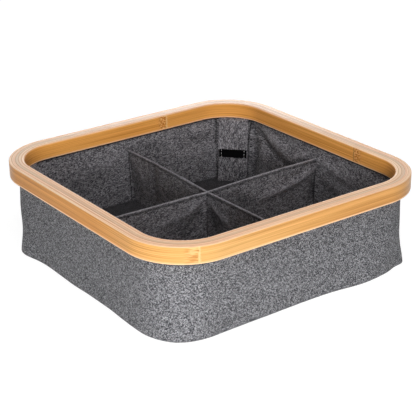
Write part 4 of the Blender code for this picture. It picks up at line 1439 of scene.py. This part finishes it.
class BOX_OT_straps(bpy.types.Operator):
    """Makes each corner's slat pocket, tapes and hanging strap"""

    bl_idname = "organizer_box.straps"
    bl_label = "Corner Straps"

    def execute(self, context):
        looks = context.scene.organizer_strap
        for number, corner in enumerate(CORNERS):
            stay, flap = "stay_" + corner, "flap_" + corner
            stay_joint, flap_joint = "stay_fold_" + corner, "flap_open_" + corner
            make_strip("split_slat_" + corner, "stay_slat_" + corner, stay_joint, stay, "slat")
            make_pocket(corner, number)
            strip = make_strip("loop_tape_" + corner, "stay_loop_tape_" + corner, stay_joint, stay,
                               "tape", wider=2 * TAPE_WIDER, longer=TAPE_LONGER, proud=TAPE_PROUD)
            ends = [[strip.at(side * (strip.width / 2 - TAPE_SEAM), up, -TAPE_PROUD)
                     for up in np.linspace(-0.0005, strip.length - 0.0005, 5)] for side in (-1, 1)]
            sew("tape_stitches_" + corner, ends, stay, material="pale_thread")
            make_strip("hook_tape_" + corner, "flap_hook_tape_" + corner, flap_joint, flap, "tape")
            make_flap(corner, number, looks)
        board = frame["nodes"]["base_board"]
        board.data.materials.clear()
        board.data.materials.append(materials["board"])
        return {"FINISHED"}


# Lamps: azimuth from the front towards the left and elevation in degrees, then distance, width and height
LAMPS = {
    "key": (19, 20, 1.8, 0.9, 0.55),
    "corner": (42, 10, 1.0, 0.40, 0.22),
    "left": (88, 8, 2.2, 0.9, 0.4),
    "right": (-25, 25, 2.2, 1.0, 0.7),
    "top": (25, 66, 1.3, 0.6, 0.6),
    "back": (215, 16.4, 2.23, 3.0, 0.25),
    "rear": (215, 5, 2.2, 2.0, 0.3)}
# The lamps that glint on the varnish
GLINTING_LAMPS = ("key", "back")
# How far the studio floor lies under the box
FLOOR_GAP = 0.0002


def add_lamp(name, strength, azimuth, elevation, distance, width, height):
    """A soft rectangular lamp that the camera doesn't see, turned towards the middle of the box."""
    lamp = bpy.data.lights.new(name, "AREA")
    lamp.shape = "RECTANGLE"
    lamp.size = width
    lamp.size_y = height
    lamp.energy = strength
    holder = bpy.data.objects.new(name, lamp)
    bpy.context.scene.collection.objects.link(holder)
    holder.visible_camera = False
    holder.visible_glossy = name in GLINTING_LAMPS
    way = Vector((0, -1, 0))
    way.rotate(Matrix.Rotation(math.radians(elevation), 3, (-1, 0, 0)))
    way.rotate(Matrix.Rotation(math.radians(-azimuth), 3, "Z"))
    holder.location = way * distance + Vector((0, 0, RIM_TOP / 2))
    holder.rotation_mode = "QUATERNION"
    holder.rotation_quaternion = way.to_track_quat("Z", "Y")


def add_camera(scene, looks):
    """The camera, aimed at the middle of the rim's top, then set a little aside and lower."""
    data = bpy.data.cameras.new("camera")
    data.lens = looks.focal_length
    data.sensor_width = 36
    data.clip_end = 50
    camera = bpy.data.objects.new("camera", data)
    scene.collection.objects.link(camera)
    scene.camera = camera
    azimuth, elevation = looks.azimuth, looks.elevation
    back = Vector((math.sin(azimuth) * math.cos(elevation), -math.cos(azimuth) * math.cos(elevation),
                   math.sin(elevation)))
    right = (-back).cross(Vector((0, 0, 1))).normalized()
    up = right.cross(-back)
    turned_right = math.cos(looks.roll) * right + math.sin(looks.roll) * up
    turned_up = math.cos(looks.roll) * up - math.sin(looks.roll) * right
    turn = Matrix((turned_right, turned_up, back)).transposed().to_4x4()
    middle = Vector((0, 0, RIM_TOP))
    place = middle + back * looks.distance + right * looks.aside - up * looks.below
    camera.matrix_world = Matrix.Translation(place) @ turn


class BOX_OT_stage(bpy.types.Operator):
    """Lays the floor, hangs the lamps and sets up the camera"""

    bl_idname = "organizer_box.stage"
    bl_label = "Stage"

    def execute(self, context):
        looks = context.scene.organizer_stage
        half = looks.floor_side / 2
        corners = [(x * half, y * half, -FLOOR_GAP) for x, y in ((-1, -1), (1, -1), (1, 1), (-1, 1))]
        mesh = bpy.data.meshes.new("studio_floor")
        mesh.from_pydata(corners, [], [(0, 1, 2, 3)])
        floor = new_object("studio_floor", mesh, "floor")

        world = bpy.data.worlds.new("studio")
        context.scene.world = world
        world.use_nodes = True
        tree = world.node_tree
        path = add_node(tree, "ShaderNodeLightPath")
        mirrored = reckon(tree, "MAXIMUM", path.outputs["Is Glossy Ray"],
                          path.outputs["Is Transmission Ray"])
        seen = reckon(tree, "MAXIMUM", path.outputs["Is Camera Ray"], mirrored)
        strength = reckon(tree, "MAXIMUM", seen, looks.ambient)
        feed(tree, tree.nodes["Background"], {"Color": (1, 1, 1, 1), "Strength": strength})

        for name, lamp in LAMPS.items():
            add_lamp(name, getattr(looks, name), *lamp)

        add_camera(context.scene, looks)
        context.scene.view_settings.view_transform = "Standard"
        return {"FINISHED"}


class BOX_OT_materials(bpy.types.Operator):
    """Mixes the materials that the pieces are made of"""

    bl_idname = "organizer_box.materials"
    bl_label = "Materials"

    def execute(self, context):
        rim = context.scene.organizer_rim
        cloth = context.scene.organizer_cloth
        strap = context.scene.organizer_strap
        materials["bamboo"] = make_bent_bamboo(rim)
        materials["slat"] = make_slat_bamboo(rim)
        materials["shell"] = make_melange_weave(
            "melange_shell_cloth", (cloth.shell_light, cloth.shell_mid, cloth.shell_dark),
            cloth.thread_pitch, slub=0.0011, weft_share=0.62, spread_of_tones=0.105, cloudiness=0.06)
        materials["lining"] = make_melange_weave(
            "melange_lining_cloth", (cloth.lining_light, cloth.lining_mid, cloth.lining_dark),
            cloth.thread_pitch, slub=0.0024, weft_share=0.66, spread_of_tones=0.15, cloudiness=0.14)
        # The lining's floor: the lining's cloth darkened, as painted shade deep in the box
        materials["shaded_floor_cloth"] = make_melange_weave(
            "melange_floor_cloth", (cloth.shaded_floor_light, cloth.shaded_floor_mid, cloth.shaded_floor_dark),
            cloth.thread_pitch, slub=0.0024, weft_share=0.66, spread_of_tones=0.15, cloudiness=0.12)
        materials["tape"] = make_loop_tape()
        materials["thread"] = make_thread("sewing_thread", strap.thread)
        materials["pale_thread"] = make_thread("pale_sewing_thread", strap.tape_thread)
        materials["board"] = make_fibre_board()
        materials["floor"] = make_floor_paint()
        return {"FINISHED"}


OPERATORS = (BOX_OT_materials, BOX_OT_stage, BOX_OT_rim, BOX_OT_shell, BOX_OT_lining, BOX_OT_dividers,
             BOX_OT_straps)


class BOX_PT_panel(bpy.types.Panel):
    """Lists the steps in the 3D view's sidebar"""

    bl_idname = "BOX_PT_panel"
    bl_label = "Organizer Box"
    bl_space_type = "VIEW_3D"
    bl_region_type = "UI"
    bl_category = "Organizer Box"

    def draw(self, context):
        for operator in OPERATORS:
            self.layout.operator(operator.bl_idname)


GROUPS = {"organizer_rim": RimLooks, "organizer_cloth": ClothLooks, "organizer_strap": StrapLooks,
          "organizer_stage": StageLooks}


def register():
    for kind in (*GROUPS.values(), *OPERATORS, BOX_PT_panel):
        bpy.utils.register_class(kind)
    for name, kind in GROUPS.items():
        setattr(bpy.types.Scene, name, PointerProperty(type=kind))


def unregister():
    for name in GROUPS:
        delattr(bpy.types.Scene, name)
    for kind in (BOX_PT_panel, *OPERATORS[::-1], *GROUPS.values()):
        bpy.utils.unregister_class(kind)


def main():
    """Makes everything in order."""
    register()
    bpy.ops.organizer_box.materials()
    bpy.ops.organizer_box.stage()
    bpy.ops.organizer_box.rim()
    bpy.ops.organizer_box.shell()
    bpy.ops.organizer_box.lining()
    bpy.ops.organizer_box.dividers()
    bpy.ops.organizer_box.straps()


if __name__ == "__main__":
    main()
